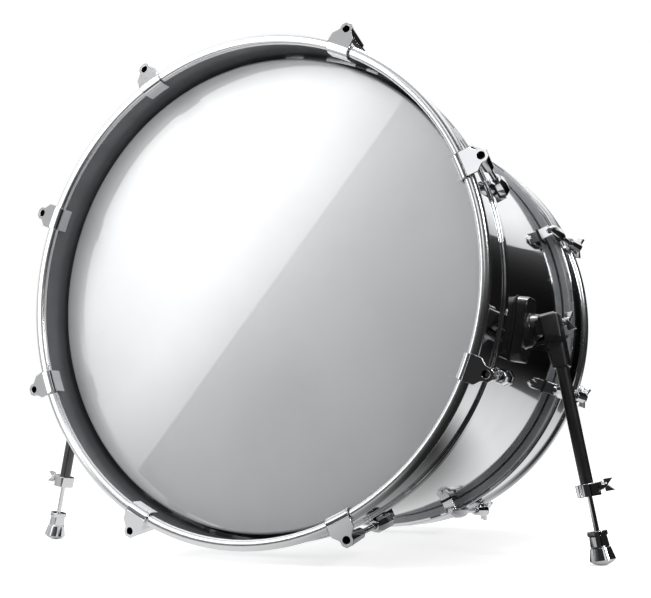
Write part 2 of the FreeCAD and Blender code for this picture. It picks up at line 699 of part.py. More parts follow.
def make_arm():
    """Folding arm: a tapering pivot boss, a web and the holder for the leg's tube, wider at its top."""
    neck = PIVOT_NECK_DIAMETER / 2
    boss = along_x(turned([
        (0, 0, 0), (PIVOT_DIAMETER / 2, 0, 0), (neck, PIVOT_BOSS_TAPER, 0), (neck, ARM_REACH, 0), (0, ARM_REACH, 0)]))
    web_top = HOLDER_ABOVE - HOLDER_CAP / 2
    web = box((ARM_REACH / 3, ARM_REACH), (LEG_Y, 0), (web_top - ARM_WEB_HEIGHT, web_top))

    def section(x, z, width, depth):
        return rounded_box(width, depth, HOLDER_CORNER).translated(Vector(x, LEG_Y, z))

    top = section(LEG_X - HOLDER_LEAN, HOLDER_ABOVE, HOLDER_WIDTH, HOLDER_DEPTH)
    bottom = section(LEG_X, -HOLDER_BELOW, HOLDER_END_WIDTH, HOLDER_DEPTH + HOLDER_FLARE)
    holder = outward(Part.makeLoft([bottom, top], True, True))
    crown = [e for e in holder.Edges if abs(e.BoundBox.ZMin - HOLDER_ABOVE) < SEAT]
    holder = holder.makeFillet(HOLDER_TOP_ROUND, crown)
    bolt = radial_rod(PIVOT_BOLT_DIAMETER / 2 + LEG_FIT, -CUT_PAST, ARM_REACH + CUT_PAST)
    socket = leg_rod(LEG_RADIUS + LEG_FIT, -HOLDER_BELOW - CUT_PAST, LEG_TOP)
    socket.translate(Vector(LEG_X, LEG_Y, 0))
    return on_pivot(joined(boss, web, holder).cut([bolt, socket]))


def wing_screw(radius, tip, seat, shoulder_radius, shoulder, neck, hub_radius, span):
    """Winged screw about the Y axis: the shank from y = tip, a shoulder at y = seat, and two wings."""
    hub_start = seat + shoulder + neck
    hub_end = hub_start + hub_radius
    middle = (hub_start + hub_end) / 2
    wings = [w.rotated(Vector(0, middle, 0), X_AXIS, 180)
             for w in wing_pair(span, hub_radius, middle, WING_SWEEP, WING_TIP_DEPTH, WING_TIP_THICKNESS)]
    shank = rod(radius, tip, middle)
    collar = rod(shoulder_radius, seat, seat + shoulder)
    return joined(shank, collar, hub(hub_radius, hub_start, hub_end, HUB_EDGE), *wings)


def make_pivot_bolt():
    """Winged bolt on which the arm turns and which locks it."""
    bolt = wing_screw(PIVOT_BOLT_DIAMETER / 2, -PIVOT_BOLT_GRIP, ARM_REACH, WING_SHOULDER_DIAMETER / 2,
                      WING_SHOULDER_LENGTH, WING_NECK, WING_HUB_DIAMETER / 2, WING_SPAN)
    return on_pivot(along_x(bolt))


def make_leg_tube():
    """Outer tube of the leg, with a hole for the clamp screw near its lower end."""
    tube = leg_rod(LEG_RADIUS, LEG_FOOT, LEG_TOP)
    bore = leg_rod(LEG_BORE / 2, LEG_FOOT - CUT_PAST, LEG_TOP - HOLDER_CAP)
    return on_leg(tube.cut([bore, clamp_way(HOLE_ROOM)]))


def clamp_place():
    """Height of the clamp screw's axis on the leg."""
    return (COLLAR_TOP + LEG_FOOT) / 2


def clamp_way(room):
    """Hole for the clamp screw, across the leg from its axis outwards."""
    start = ROD_LEG_RADIUS
    hole = radial_rod(CLAMP_SCREW_DIAMETER / 2 + room, start, 2 * COLLAR_DIAMETER)
    return hole.translated(Vector(0, 0, clamp_place()))


def make_leg_bush():
    """Plastic bush in the tube's lower end, in which the leg rod slides."""
    bush = leg_rod(LEG_BORE / 2 - LEG_FIT, LEG_FOOT, BUSH_TOP)
    bore = leg_rod(ROD_LEG_RADIUS + LEG_FIT, LEG_FOOT - CUT_PAST, BUSH_TOP + CUT_PAST)
    return on_leg(bush.cut([bore, clamp_way(HOLE_ROOM)]))


def make_collar():
    """Clamp collar on the tube's lower end, with a boss for its screw."""
    body = leg_rod(COLLAR_DIAMETER / 2, COLLAR_BOTTOM, COLLAR_TOP)
    half = COLLAR_BOSS_SIZE / 2
    height = clamp_place()
    boss = box((0, COLLAR_BOSS_REACH), (-half, half), (height - half, height + half))
    socket = leg_rod(LEG_RADIUS + LEG_FIT, LEG_FOOT, COLLAR_TOP + CUT_PAST)
    way = leg_rod(ROD_LEG_RADIUS + ROD_ROOM, COLLAR_BOTTOM - CUT_PAST, LEG_FOOT + CUT_PAST)
    return on_leg(joined(body, boss).cut([socket, way, clamp_way(THREAD_CLEARANCE)]))


def make_clamp_screw():
    """Winged screw that clamps the leg rod."""
    radius = CLAMP_SCREW_DIAMETER / 2
    tip = ROD_LEG_RADIUS + HOLE_ROOM
    seat = COLLAR_BOSS_REACH + HOLE_ROOM
    screw = wing_screw(radius, tip, seat, radius + CLAMP_COLLAR, CLAMP_COLLAR, CLAMP_COLLAR,
                       CLAMP_HUB_DIAMETER / 2, CLAMP_SPAN)
    return on_leg(along_x(screw).translated(Vector(0, 0, clamp_place())))


def make_leg_rod():
    """Inner rod of the leg, with a stop at its top that cannot pass the bush."""
    stop_bottom = BUSH_TOP + ROD_LEG_TRAVEL + ROD_LEG_RADIUS
    stop_top = stop_bottom + ROD_LEG_STOP
    bottom = FOOT_TOP - FOOT_FLANGE_HEIGHT - FOOT_NECK_HEIGHT
    stop = leg_rod(LEG_BORE / 2 - 2 * LEG_FIT, stop_bottom, stop_top)
    return on_leg(joined(leg_rod(ROD_LEG_RADIUS, bottom, stop_top), stop))


def make_foot():
    """Foot: a flanged neck and a flared bell, bored for the rod above and the rubber below."""
    neck_bottom = FOOT_TOP - FOOT_FLANGE_HEIGHT - FOOT_NECK_HEIGHT
    flange_bottom = FOOT_TOP - FOOT_FLANGE_HEIGHT
    flange = FOOT_FLANGE_DIAMETER / 2
    neck = FOOT_NECK / 2
    waist = FOOT_WAIST / 2
    rim = FOOT_DIAMETER / 2
    body = turned([
        (0, FOOT_RIM, 0), (rim, FOOT_RIM, 0), (waist + FOOT_GROOVE, neck_bottom - FOOT_GROOVE, FOOT_EDGE / 2),
        (waist - FOOT_GROOVE, neck_bottom, 0), (waist, neck_bottom + FOOT_GROOVE, FOOT_EDGE / 2),
        (neck, flange_bottom - FOOT_GROOVE, FOOT_EDGE), (flange, flange_bottom, FOOT_EDGE / 2),
        (flange, FOOT_TOP, FOOT_EDGE), (0, FOOT_TOP, 0)])
    bore = leg_rod(ROD_LEG_RADIUS + LEG_FIT, neck_bottom, FOOT_TOP + CUT_PAST)
    spigot = leg_rod(FOOT_SPIGOT_DIAMETER / 2 + LEG_FIT, FOOT_RIM - CUT_PAST, FOOT_RIM + FOOT_SPIGOT_HEIGHT)
    return on_leg(upright(body).cut([bore, spigot]))


def make_rubber():
    """Domed rubber pad under the foot, held by a spigot."""
    ball = Part.makeSphere(DOME_RADIUS, Vector(0, 0, DOME_CENTRE))
    dome = ball.common(leg_rod(DOME_RADIUS, FOOT_RIM - FOOT_DOME - CUT_PAST, FOOT_RIM))
    spigot = leg_rod(FOOT_SPIGOT_DIAMETER / 2, FOOT_RIM - FOOT_DOME / 2, FOOT_RIM + FOOT_SPIGOT_HEIGHT)
    return on_leg(joined(dome, spigot))


def standing_tip():
    """Angle by which the drum tips to stand on its feet and the bottom of its rear hoop."""
    dome = on_leg(Part.Vertex(0, 0, DOME_CENTRE)).Point
    along = DRUM_LENGTH - dome.y
    rise = dome.z + HOOP_RADIUS
    level = math.asin((DOME_RADIUS - BEAD_RADIUS) / math.hypot(along, rise))
    return math.degrees(level - math.atan2(rise, along))


def build():
    """All nodes by name, each a list of separate solids in the drum's own frame."""
    def other_end(solid):
        return solid.rotated(Vector(0, DRUM_LENGTH / 2, 0), X_AXIS, 180)

    nodes = {"shell": [make_shell()], "vent_grommet": [make_grommet()]}
    for name, solid in (("film", make_film()), ("flesh_hoop", make_flesh_hoop()), ("hoop", make_hoop())):
        nodes["front_" + name] = [solid]
        nodes["rear_" + name] = [other_end(solid)]
    for name, make in (("claws", make_claw), ("lugs", make_lug)):
        nodes["front_" + name] = round_the_drum(make(FRONT_LINE), False)
        nodes["rear_" + name] = round_the_drum(make(REAR_LINE), True)
    small = (("claw_liners", make_liner), ("rod_washers", make_rod_washer), ("swivel_nuts", make_nut),
             ("lug_gaskets", make_lug_gasket), ("lug_screws", make_lug_screw),
             ("lug_screw_washers", make_lug_washer))
    for name, make in small:
        nodes[name] = both_ends(make)
    for i, solid in enumerate(round_the_drum(make_key_rod(FRONT_LINE), False), 1):
        nodes["front_tension_rod_%d" % i] = [solid]
    for i, (angle, turn) in enumerate(zip(station_angles(), HANDLE_TURNS), 1):
        nodes["rear_tension_rod_%d" % i] = [at_station(make_handle_rod(REAR_LINE, turn), angle, True)]
    nodes["spur_gaskets"] = on_both_sides([make_bracket_gasket()])
    nodes["spur_bracket_screws"] = on_both_sides(make_bracket_screws())
    nodes["spur_bracket_washers"] = on_both_sides(make_bracket_washers())
    spur = (("spur_bracket", make_bracket()), ("spur_arm", make_arm()),
            ("spur_pivot_bolt", make_pivot_bolt()), ("leg_tube", make_leg_tube()),
            ("leg_bush", make_leg_bush()), ("leg_collar", make_collar()),
            ("leg_clamp_screw", make_clamp_screw()), ("leg_rod", make_leg_rod()),
            ("foot_bell", make_foot()), ("foot_rubber", make_rubber()))
    for name, solid in spur:
        nodes["right_" + name] = [solid]
        nodes["left_" + name] = [mirrored(solid)]
    return nodes


def standing_place(nodes):
    """Placement that sets the drum on the floor with its origin under the middle of its box."""
    tip = FreeCAD.Placement(ORIGIN, FreeCAD.Rotation(X_AXIS, -standing_tip()))
    whole = Part.makeCompound([s for solids in nodes.values() for s in solids])
    room = whole.transformed(tip.toMatrix(), True).optimalBoundingBox(False, False)
    down = FreeCAD.Placement(Vector(0, -(room.YMin + room.YMax) / 2, -room.ZMin), FreeCAD.Rotation())
    return down.multiply(tip)


def main():
    """Write every node, set down on the floor, to its own file."""
    nodes = build()
    place = standing_place(nodes).toMatrix()
    os.makedirs("parts", exist_ok=True)
    for name, solids in nodes.items():
        Part.makeCompound([s.transformed(place, True) for s in solids]).exportStep("parts/%s.step" % name)


main()
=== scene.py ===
"""Looks of a chrome bass drum on two folding spurs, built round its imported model.

Lengths in the sizes are millimetres; Blender's own lengths are metres. The drum's own frame has Y along
its axis from the front head to the rear head, X to the right seen from the front and Z up, with the
front hoop's bead on the plane y = 0.
"""
import json
import logging
import math
from dataclasses import dataclass
from enum import Enum

import bmesh
import bpy
from mathutils import Matrix, Vector


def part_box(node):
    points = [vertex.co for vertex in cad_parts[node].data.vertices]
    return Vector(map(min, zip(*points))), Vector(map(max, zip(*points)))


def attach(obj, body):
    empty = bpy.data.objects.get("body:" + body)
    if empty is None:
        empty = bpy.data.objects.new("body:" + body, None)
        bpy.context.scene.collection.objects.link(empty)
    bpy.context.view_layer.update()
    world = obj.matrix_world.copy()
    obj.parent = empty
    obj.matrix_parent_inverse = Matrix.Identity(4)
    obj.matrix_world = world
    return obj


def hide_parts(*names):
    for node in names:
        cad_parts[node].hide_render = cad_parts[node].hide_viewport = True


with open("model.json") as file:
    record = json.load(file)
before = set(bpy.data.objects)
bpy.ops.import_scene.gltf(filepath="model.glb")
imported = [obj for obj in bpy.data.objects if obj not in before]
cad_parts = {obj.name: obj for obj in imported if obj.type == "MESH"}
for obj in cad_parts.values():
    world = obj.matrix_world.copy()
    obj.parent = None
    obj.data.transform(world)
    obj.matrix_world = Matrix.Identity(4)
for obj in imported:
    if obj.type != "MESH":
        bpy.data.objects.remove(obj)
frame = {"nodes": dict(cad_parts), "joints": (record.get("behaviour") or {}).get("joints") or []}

Tree = bpy.types.NodeTree
Socket = bpy.types.NodeSocket
Object = bpy.types.Object
Pair = tuple[float, float]
Triple = tuple[float, float, float]
Outline = list[Pair]

LOG = logging.getLogger("bass_drum")
MM = 0.001
WHITE = "#ffffff"
SQUARE = ((-1, -1), (1, -1), (1, 1), (-1, 1))
# Mending and edge softening of meshes
MERGE_DISTANCE = 2e-6
FLAT_ANGLE = math.radians(0.4)
SHARP_ANGLE = math.radians(32)
BEVEL_SEGMENTS = 2
CRISP = 0.0
# Cosine under which a face counts as lying along a direction
LYING = 0.5
# Every finish drifts in patches of so many grains
DRIFT_GRAINS = 12
DRIFT_DETAIL = 3.0
DRIFT_RANGE = (0.3, 0.7)
TINT_RANGE = (0.35, 0.65)
GRAIN_DETAIL = 2.0


class End(Enum):
    """The two ends of the drum."""

    FRONT = "front"
    REAR = "rear"


class Side(Enum):
    """The two sides that carry a spur, seen from the front."""

    RIGHT = "right"
    LEFT = "left"


class Slot(Enum):
    """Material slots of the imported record."""

    CHROME = "chrome"
    SHELL = "shell_wrap"
    HOOP = "hoop_metal"
    FLESH = "flesh_hoop_metal"
    FILM = "film"
    CASTING = "black_casting"
    GREY_RUBBER = "grey_rubber"


def linear(colour: str) -> tuple[float, float, float, float]:
    """Turn an sRGB hex colour into linear light.

    Args:
        colour: six hex digits after a hash sign.

    Returns:
        Linear red, green, blue and an alpha of one.
    """
    parts = [int(colour[i:i + 2], 16) / 255 for i in (1, 3, 5)]
    light = [c / 12.92 if c <= 0.04045 else ((c + 0.055) / 1.055) ** 2.4 for c in parts]
    return (*light, 1.0)


def add(tree: Tree, kind: str, inputs: dict | None = None, **settings: object) -> bpy.types.Node:
    """Add a node with its settings, its input values and its links.

    Args:
        tree: the node tree that gets the node.
        kind: the node's type name.
        inputs: for each input's name or number, a value or the socket to link from.
        settings: the node's own properties.

    Returns:
        The new node.
    """
    node = tree.nodes.new(kind)
    for name, value in settings.items():
        setattr(node, name, value)
    for key, value in (inputs or {}).items():
        if isinstance(value, Socket):
            tree.links.new(value, node.inputs[key])
        else:
            node.inputs[key].default_value = value
    return node


def calc(tree: Tree, operation: str, *values: float | Socket) -> Socket:
    """The socket of a number that a math node works out from numbers or sockets."""
    return add(tree, "ShaderNodeMath", dict(enumerate(values)), operation=operation).outputs["Value"]


def vector_calc(tree: Tree, operation: str, *values: Vector | Socket) -> Socket:
    """Work on vectors as calc does on numbers; a length or a dot product gives a number."""
    node = add(tree, "ShaderNodeVectorMath", dict(enumerate(values)), operation=operation)
    return node.outputs["Value" if operation in ("LENGTH", "DOT_PRODUCT") else "Vector"]


def ranged(tree: Tree, value: Socket, source: Pair, target: tuple = (0.0, 1.0), soft: bool = False) -> Socket:
    """Carry a number from one range to another and hold it at the ends.

    Args:
        tree: the node tree.
        value: the number.
        source: the range it comes from.
        target: the range it goes to, in numbers or sockets.
        soft: whether it eases in and out.

    Returns:
        The result's socket.
    """
    return add(tree, "ShaderNodeMapRange", {
        "Value": value, "From Min": source[0], "From Max": source[1],
        "To Min": target[0], "To Max": target[1]},
        interpolation_type="SMOOTHSTEP" if soft else "LINEAR").outputs["Result"]


def mixed(tree: Tree, factor: Socket, first: float | Socket, second: float | Socket) -> Socket:
    """The blend of two numbers by a factor."""
    return add(tree, "ShaderNodeMix", {"Factor": factor, "A": first, "B": second}).outputs["Result"]


def ramped(tree: Tree, factor: Socket, *stops: tuple[float, str]) -> Socket:
    """Colour along a ramp.

    Args:
        tree: the node tree.
        factor: the place on the ramp.
        stops: place and colour of each stop, in order.

    Returns:
        The colour's socket.
    """
    node = add(tree, "ShaderNodeValToRGB", {"Fac": factor})
    elements = node.color_ramp.elements
    elements.remove(elements[1])
    elements[0].position = stops[0][0]
    for i, (at, colour) in enumerate(stops):
        stop = elements.new(at) if i else elements[0]
        stop.color = linear(colour)
    return node.outputs["Color"]


def glowing(tree: Tree, strength: Socket) -> None:
    """End a material as a plain white light."""
    light = add(tree, "ShaderNodeEmission", {"Strength": strength})
    add(tree, "ShaderNodeOutputMaterial", {"Surface": light.outputs["Emission"]})


def bare_material(name: str) -> tuple[bpy.types.Material, Tree]:
    """Start a material with an empty node tree.

    Args:
        name: the material's name.

    Returns:
        The material and its tree.
    """
    made = bpy.data.materials.new(name)
    made.use_nodes = True
    made.node_tree.nodes.clear()
    return made, made.node_tree


@dataclass(frozen=True)
class Finish:
    """One real material: what it is, its two close colours and the grain its making leaves."""

    name: str
    colour: str
    shade: str
    metallic: float
    roughness: float
    roughness_drift: float
    grain: float
    bump: float
    stretch: Triple = (1.0, 1.0, 1.0)
    coat: float = 0.0
    coat_roughness: float = 0.03
    coat_ior: float = 1.5
    specular: float = 0.5

    def material(self) -> bpy.types.Material:
        """Make the finish a node material, once, and then share it.

        Returns:
            The material.
        """
        if self.name in bpy.data.materials:
            return bpy.data.materials[self.name]
        made, tree = bare_material(self.name)
        place = add(tree, "ShaderNodeTexCoord")
        turned = add(tree, "ShaderNodeMapping", {"Vector": place.outputs["Object"], "Scale": self.stretch})
        drift, grain = (add(tree, "ShaderNodeTexNoise", {
            "Vector": turned.outputs["Vector"], "Scale": 1 / (size * MM), "Detail": detail}).outputs["Fac"]
            for size, detail in ((self.grain * DRIFT_GRAINS, DRIFT_DETAIL), (self.grain, GRAIN_DETAIL)))
        rough = ranged(tree, drift, DRIFT_RANGE, (
            self.roughness - self.roughness_drift, self.roughness + self.roughness_drift))
        relief = add(tree, "ShaderNodeBump", {"Height": grain, "Strength": 1.0, "Distance": self.bump * MM})
        tint = ramped(tree, drift, *zip(TINT_RANGE, (self.colour, self.shade)))
        shader = add(tree, "ShaderNodeBsdfPrincipled", {
            "Base Color": tint, "Metallic": self.metallic, "Roughness": rough,
            "Normal": relief.outputs["Normal"], "Coat Weight": self.coat,
            "Coat Roughness": self.coat_roughness, "Coat IOR": self.coat_ior,
            "Specular IOR Level": self.specular})
        add(tree, "ShaderNodeOutputMaterial", {"Surface": shader.outputs["BSDF"]})
        return made


# Bright chromium plate over nickel, buffed: a near mirror with faint polishing drift
CHROME = Finish("polished_chrome_plate", "#f1f2f4", "#eaebee", 1.0, 0.055, 0.02, 2.5, 0.0006)
# Chrome-faced plastic sheet laid over the ply: a mirror that is a little softer than plate
SHELL_WRAP = Finish("chrome_faced_wrap", "#f1f2f4", "#ecedef", 1.0, 0.06, 0.02, 6.0, 0.0008)
# Polished aluminium extrusion, plated: bright, with a fine drift along the hoop
HOOP_CHROME = Finish("plated_aluminium_hoop", "#f1f2f4", "#e8e9ec", 1.0, 0.06, 0.02, 3.0, 0.0006)
# The hoop's round bead, buffed by hand: softer than the band, so that it shows one broad highlight
BEAD_CHROME = Finish("buffed_aluminium_bead", "#f6f7f8", "#eff0f2", 1.0, 0.22, 0.03, 3.0, 0.0006)
# Inside of the hoop, a dim satin grey in place of the chrome: painted shade, so that it frames the head as a
# dim even ring
SHADED_HOOP_INSIDE = Finish("grey_lacquered_hoop_inside", "#7c7d80", "#737477", 0.5, 0.32, 0.04, 3.0, 0.001)
# Bores of the claws and lugs, near black: painted shade, so that each bore reads as a black hole
SHADED_BORE = Finish("black_oxide_bore", "#0c0c0d", "#121213", 0.0, 0.6, 0.05, 1.0, 0.002, specular=0.1)
# Rolled aluminium, made near black and dull as painted shade: it reads as the shadowed gap between hoop and
# shell
SHADED_FLESH_METAL = Finish("dark_anodised_flesh_hoop", "#2a2b2d", "#202123", 0.9, 0.34, 0.05, 1.2, 0.004)
# Rolled aluminium left bare: satin, so that it reads as a soft grey ring beside the rear hoop
BRIGHT_FLESH = Finish("rolled_aluminium_flesh_hoop", "#a2a3a6", "#9a9b9e", 0.6, 0.42, 0.03, 1.2, 0.001)
# Silvered polyester film, coated: a soft metallic sheen under a clear gloss
HEAD_FILM = Finish("silvered_polyester_film", "#c2c3c4", "#bcbdbf", 0.5, 0.5, 0.01, 9.0, 0.0,
                   coat=1.0, coat_roughness=0.01, coat_ior=2.0)
# Die-cast zinc, enamelled black: a hard gloss over a faint orange-peel skin
BLACK_ENAMEL = Finish("black_enamelled_casting", "#18181a", "#1d1d1f", 0.0, 0.34, 0.05, 1.1, 0.006,
                      coat=1.0, coat_roughness=0.18, coat_ior=1.8, specular=0.3)
# Moulded grey rubber: matt, with a fine spark-eroded grain
PALE_RUBBER = Finish("pale_grey_moulded_rubber", "#d6d7d8", "#cccdce", 0.0, 0.55, 0.08, 0.5, 0.02)
# Black die-cut rubber sheet: dull, slightly dusty
DARK_RUBBER = Finish("black_gasket_rubber", "#161617", "#1e1e1f", 0.0, 0.6, 0.08, 0.5, 0.02)
# Turned black nylon: satin
NYLON = Finish("black_nylon_bush", "#121213", "#19191a", 0.0, 0.38, 0.06, 0.6, 0.01)
# Zinc-plated steel fasteners: grey metal with a slightly clouded plate
ZINC = Finish("zinc_plated_steel", "#b9bcc0", "#a6a9ae", 1.0, 0.24, 0.07, 0.8, 0.004)
# Birch ply inside the shell, lacquered: pale wood with long grain round the tube
BIRCH = Finish("lacquered_birch_ply", "#c9a877", "#b38d5b", 0.0, 0.42, 0.08, 2.0, 0.02, (1.0, 6.0, 1.0))


def settle(obj: Object) -> None:
    """Apply an object's modifiers and keep the result as its plain mesh.

    Args:
        obj: the object.
    """
    bpy.context.view_layer.update()
    graph = bpy.context.evaluated_depsgraph_get()
    mesh = bpy.data.meshes.new_from_object(obj.evaluated_get(graph), depsgraph=graph)
    old = obj.data
    obj.modifiers.clear()
    mesh.name = obj.name
    obj.data = mesh
    bpy.data.meshes.remove(old)


def shown(name: str, data: bpy.types.ID) -> Object:
    """Make an object at the origin and link it to the scene.

    Args:
        name: its name.
        data: its mesh, lamp or camera.

    Returns:
        The object.
    """
    obj = bpy.data.objects.new(name, data)
    bpy.context.scene.collection.objects.link(obj)
    return obj


def shape_of(name: str, work: bmesh.types.BMesh) -> Object:
    """Make an object of a mesh that was worked on, and free the work.

    Args:
        name: the object's name.
        work: the mesh.

    Returns:
        The object.
    """
    obj = shown(name, bpy.data.meshes.new(name))
    work.to_mesh(obj.data)
    work.free()
    return obj


def run_tree(name: str, tree: Tree, inputs: dict) -> Object:
    """Run a geometry tree and keep its result as a plain mesh.

    Args:
        name: the new piece's name.
        tree: the tree to run.
        inputs: values by the inputs' names.

    Returns:
        The object that holds the result.
    """
    obj = shown(name, bpy.data.meshes.new(name))
    modifier = obj.modifiers.new("Shape", "NODES")
    modifier.node_group = tree
    for item in tree.interface.items_tree:
        if item.in_out == "INPUT" and item.name in inputs:
            modifier[item.identifier] = inputs[item.name]
    settle(obj)
    return obj


def shaded(obj: Object, bevel: float = CRISP) -> Object:
    """Close, turn outwards, soften the edges of a piece and shade it evenly.

    Args:
        obj: the piece.
        bevel: width of the rounded edges, or CRISP to leave them.

    Returns:
        The same piece with a plain finished mesh.
    """
    work = bmesh.new()
    work.from_mesh(obj.data)
    bmesh.ops.remove_doubles(work, verts=work.verts, dist=MERGE_DISTANCE)
    bmesh.ops.dissolve_degenerate(work, edges=work.edges, dist=MERGE_DISTANCE)
    bmesh.ops.recalc_face_normals(work, faces=work.faces)
    work.to_mesh(obj.data)
    work.free()
    obj.data.shade_smooth()
    obj.data.set_sharp_from_angle(angle=SHARP_ANGLE)
    if bevel:
        soften = obj.modifiers.new("Rounded edges", "BEVEL")
        soften.width = bevel * MM
        soften.segments = BEVEL_SEGMENTS
        soften.limit_method = "ANGLE"
        soften.angle_limit = SHARP_ANGLE
        soften.use_clamp_overlap = False
    even = obj.modifiers.new("Even shading", "WEIGHTED_NORMAL")
    even.mode = "FACE_AREA_WITH_ANGLE"
    even.keep_sharp = True
    settle(obj)
    return obj


def painted(obj: Object, finish: Finish) -> None:
    """Give a piece one finish all over."""
    obj.data.materials.clear()
    obj.data.materials.append(finish.material())


def dressed(obj: Object, finish: Finish, slot: Slot, body: str, *nodes: str) -> Object:
    """Give a piece its finish, its body and the CAD nodes that it stands for.

    Args:
        obj: the piece.
        finish: what it is made of.
        slot: the record's material slot; not used.
        body: the CAD body that it rides on.
        nodes: the CAD nodes that it replaces.

    Returns:
        The same piece.
    """
    painted(obj, finish)
    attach(obj, body)
    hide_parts(*nodes)
    LOG.info("%s: %d faces, rides on %s", obj.name, len(obj.data.polygons), body)
    return obj


def further(obj: Object, finish: Finish) -> int:
    """Add a further finish to a piece and give its number there."""
    obj.data.materials.append(finish.material())
    return len(obj.data.materials) - 1


def new_tree(name: str, inputs: dict[str, str]) -> tuple[Tree, dict[str, Socket]]:
    """Start a geometry tree with named inputs, and those that close_tree uses.

    Args:
        name: the tree's name.
        inputs: socket type by input name.

    Returns:
        The tree and its input sockets by name.
    """
    tree = bpy.data.node_groups.new(name, "GeometryNodeTree")
    tree.interface.new_socket("Geometry", in_out="OUTPUT", socket_type="NodeSocketGeometry")
    labels = inputs | {
        "Location": "NodeSocketVector", "Rotation": "NodeSocketRotation", "Material": "NodeSocketMaterial"}
    for label, kind in labels.items():
        tree.interface.new_socket(label, in_out="INPUT", socket_type=kind)
    start = add(tree, "NodeGroupInput")
    return tree, {label: start.outputs[label] for label in labels}


def close_tree(tree: Tree, given: dict[str, Socket], geometry: Socket) -> None:
    """End a geometry tree: real geometry, put in its place, that carries its material.

    Args:
        tree: the tree.
        given: its input sockets by name.
        geometry: what it has built.
    """
    real = add(tree, "GeometryNodeRealizeInstances", {"Geometry": geometry})
    placed = add(tree, "GeometryNodeTransform", {
        "Geometry": real.outputs["Geometry"],
        "Translation": given["Location"], "Rotation": given["Rotation"]})
    coated = add(tree, "GeometryNodeSetMaterial", {
        "Geometry": placed.outputs["Geometry"], "Material": given["Material"]})
    add(tree, "NodeGroupOutput", {"Geometry": coated.outputs["Geometry"]})


def turning_tree() -> Tree:
    """Make the tree that turns an outline of (radius, height) points about the Y axis.

    Returns:
        The tree.
    """
    tree, given = new_tree("turned_on_a_lathe", {
        "Outline": "NodeSocketObject", "Points": "NodeSocketInt", "Segments": "NodeSocketInt"})
    outline = add(tree, "GeometryNodeObjectInfo", {"Object": given["Outline"]})
    columns = calc(tree, "ADD", given["Segments"], 1.0)
    sheet = add(tree, "GeometryNodeMeshGrid", {"Vertices X": given["Points"], "Vertices Y": columns})
    index = add(tree, "GeometryNodeInputIndex").outputs["Index"]
    row = calc(tree, "FLOOR", calc(tree, "DIVIDE", index, columns))
    turn = calc(tree, "DIVIDE", calc(tree, "MODULO", index, columns), given["Segments"])
    angle = calc(tree, "MULTIPLY", turn, math.tau)
    here = add(tree, "GeometryNodeInputPosition").outputs["Position"]
    point = add(tree, "GeometryNodeSampleIndex", {
        "Geometry": outline.outputs["Geometry"], "Value": here, "Index": row},
        data_type="FLOAT_VECTOR")
    swung = add(tree, "ShaderNodeVectorRotate", {
        "Vector": point.outputs["Value"], "Axis": (0.0, 1.0, 0.0), "Angle": angle})
    body = add(tree, "GeometryNodeSetPosition", {
        "Geometry": sheet.outputs["Mesh"], "Position": swung.outputs["Vector"]})
    closed = add(tree, "GeometryNodeMergeByDistance", {
        "Geometry": body.outputs["Geometry"], "Distance": MERGE_DISTANCE})
    close_tree(tree, given, closed.outputs["Geometry"])
    return tree


def station_tree() -> Tree:
    """Make the tree that repeats a pattern at the drum's stations, in pairs either side of the quarters.

    Returns:
        The tree.
    """
    tree, given = new_tree("round_the_drum", {
        "Pattern": "NodeSocketObject", "Count": "NodeSocketInt",
        "Side Spread": "NodeSocketFloat", "Top Spread": "NodeSocketFloat"})
    pattern = add(tree, "GeometryNodeObjectInfo", {"Object": given["Pattern"], "As Instance": True})
    points = add(tree, "GeometryNodeMeshLine", {"Count": given["Count"], "Offset": (0.0, 0.0, 0.0)})
    index = add(tree, "GeometryNodeInputIndex").outputs["Index"]
    quarter = calc(tree, "FLOOR", calc(tree, "DIVIDE", index, 2.0))
    sign = calc(tree, "MULTIPLY_ADD", calc(tree, "MODULO", index, 2.0), 2.0, -1.0)
    spread = ranged(tree, calc(tree, "MODULO", quarter, 2.0), (0.0, 1.0), (
        given["Side Spread"], given["Top Spread"]))
    offset = calc(tree, "MULTIPLY", sign, spread)
    angle = calc(tree, "MULTIPLY_ADD", quarter, math.pi / 2, offset)
    turn = add(tree, "ShaderNodeCombineXYZ", {"Y": calc(tree, "MULTIPLY", angle, -1.0)})
    ring = add(tree, "GeometryNodeInstanceOnPoints", {
        "Points": points.outputs["Mesh"], "Instance": pattern.outputs["Geometry"],
        "Rotation": turn.outputs["Vector"]})
    close_tree(tree, given, ring.outputs["Instances"])
    return tree


def rounded(corners: list[Triple], steps: int = 6) -> Outline:
    """Closed outline through corners, each rounded by its own radius.

    Args:
        corners: (radius, height, corner radius) in order.
        steps: points along each rounded corner.

    Returns:
        The outline's points, the first one repeated at the end.
    """
    points = []
    for i, (x, y, radius) in enumerate(corners):
        here = Vector((x, y))
        if radius == 0:
            points.append((x, y))
            continue
        back = (Vector(corners[i - 1][:2]) - here).normalized()
        ahead = (Vector(corners[(i + 1) % len(corners)][:2]) - here).normalized()
        half = back.angle(ahead) / 2
        start = here + back * (radius / math.tan(half))
        centre = here + (back + ahead).normalized() * (radius / math.sin(half))
        arm = start - centre
        sweep = math.pi - 2 * half
        if back.cross(ahead) > 0:
            sweep = -sweep
        points += [tuple(centre + Matrix.Rotation(sweep * k / steps, 2) @ arm) for k in range(steps + 1)]
    return points + points[:1]


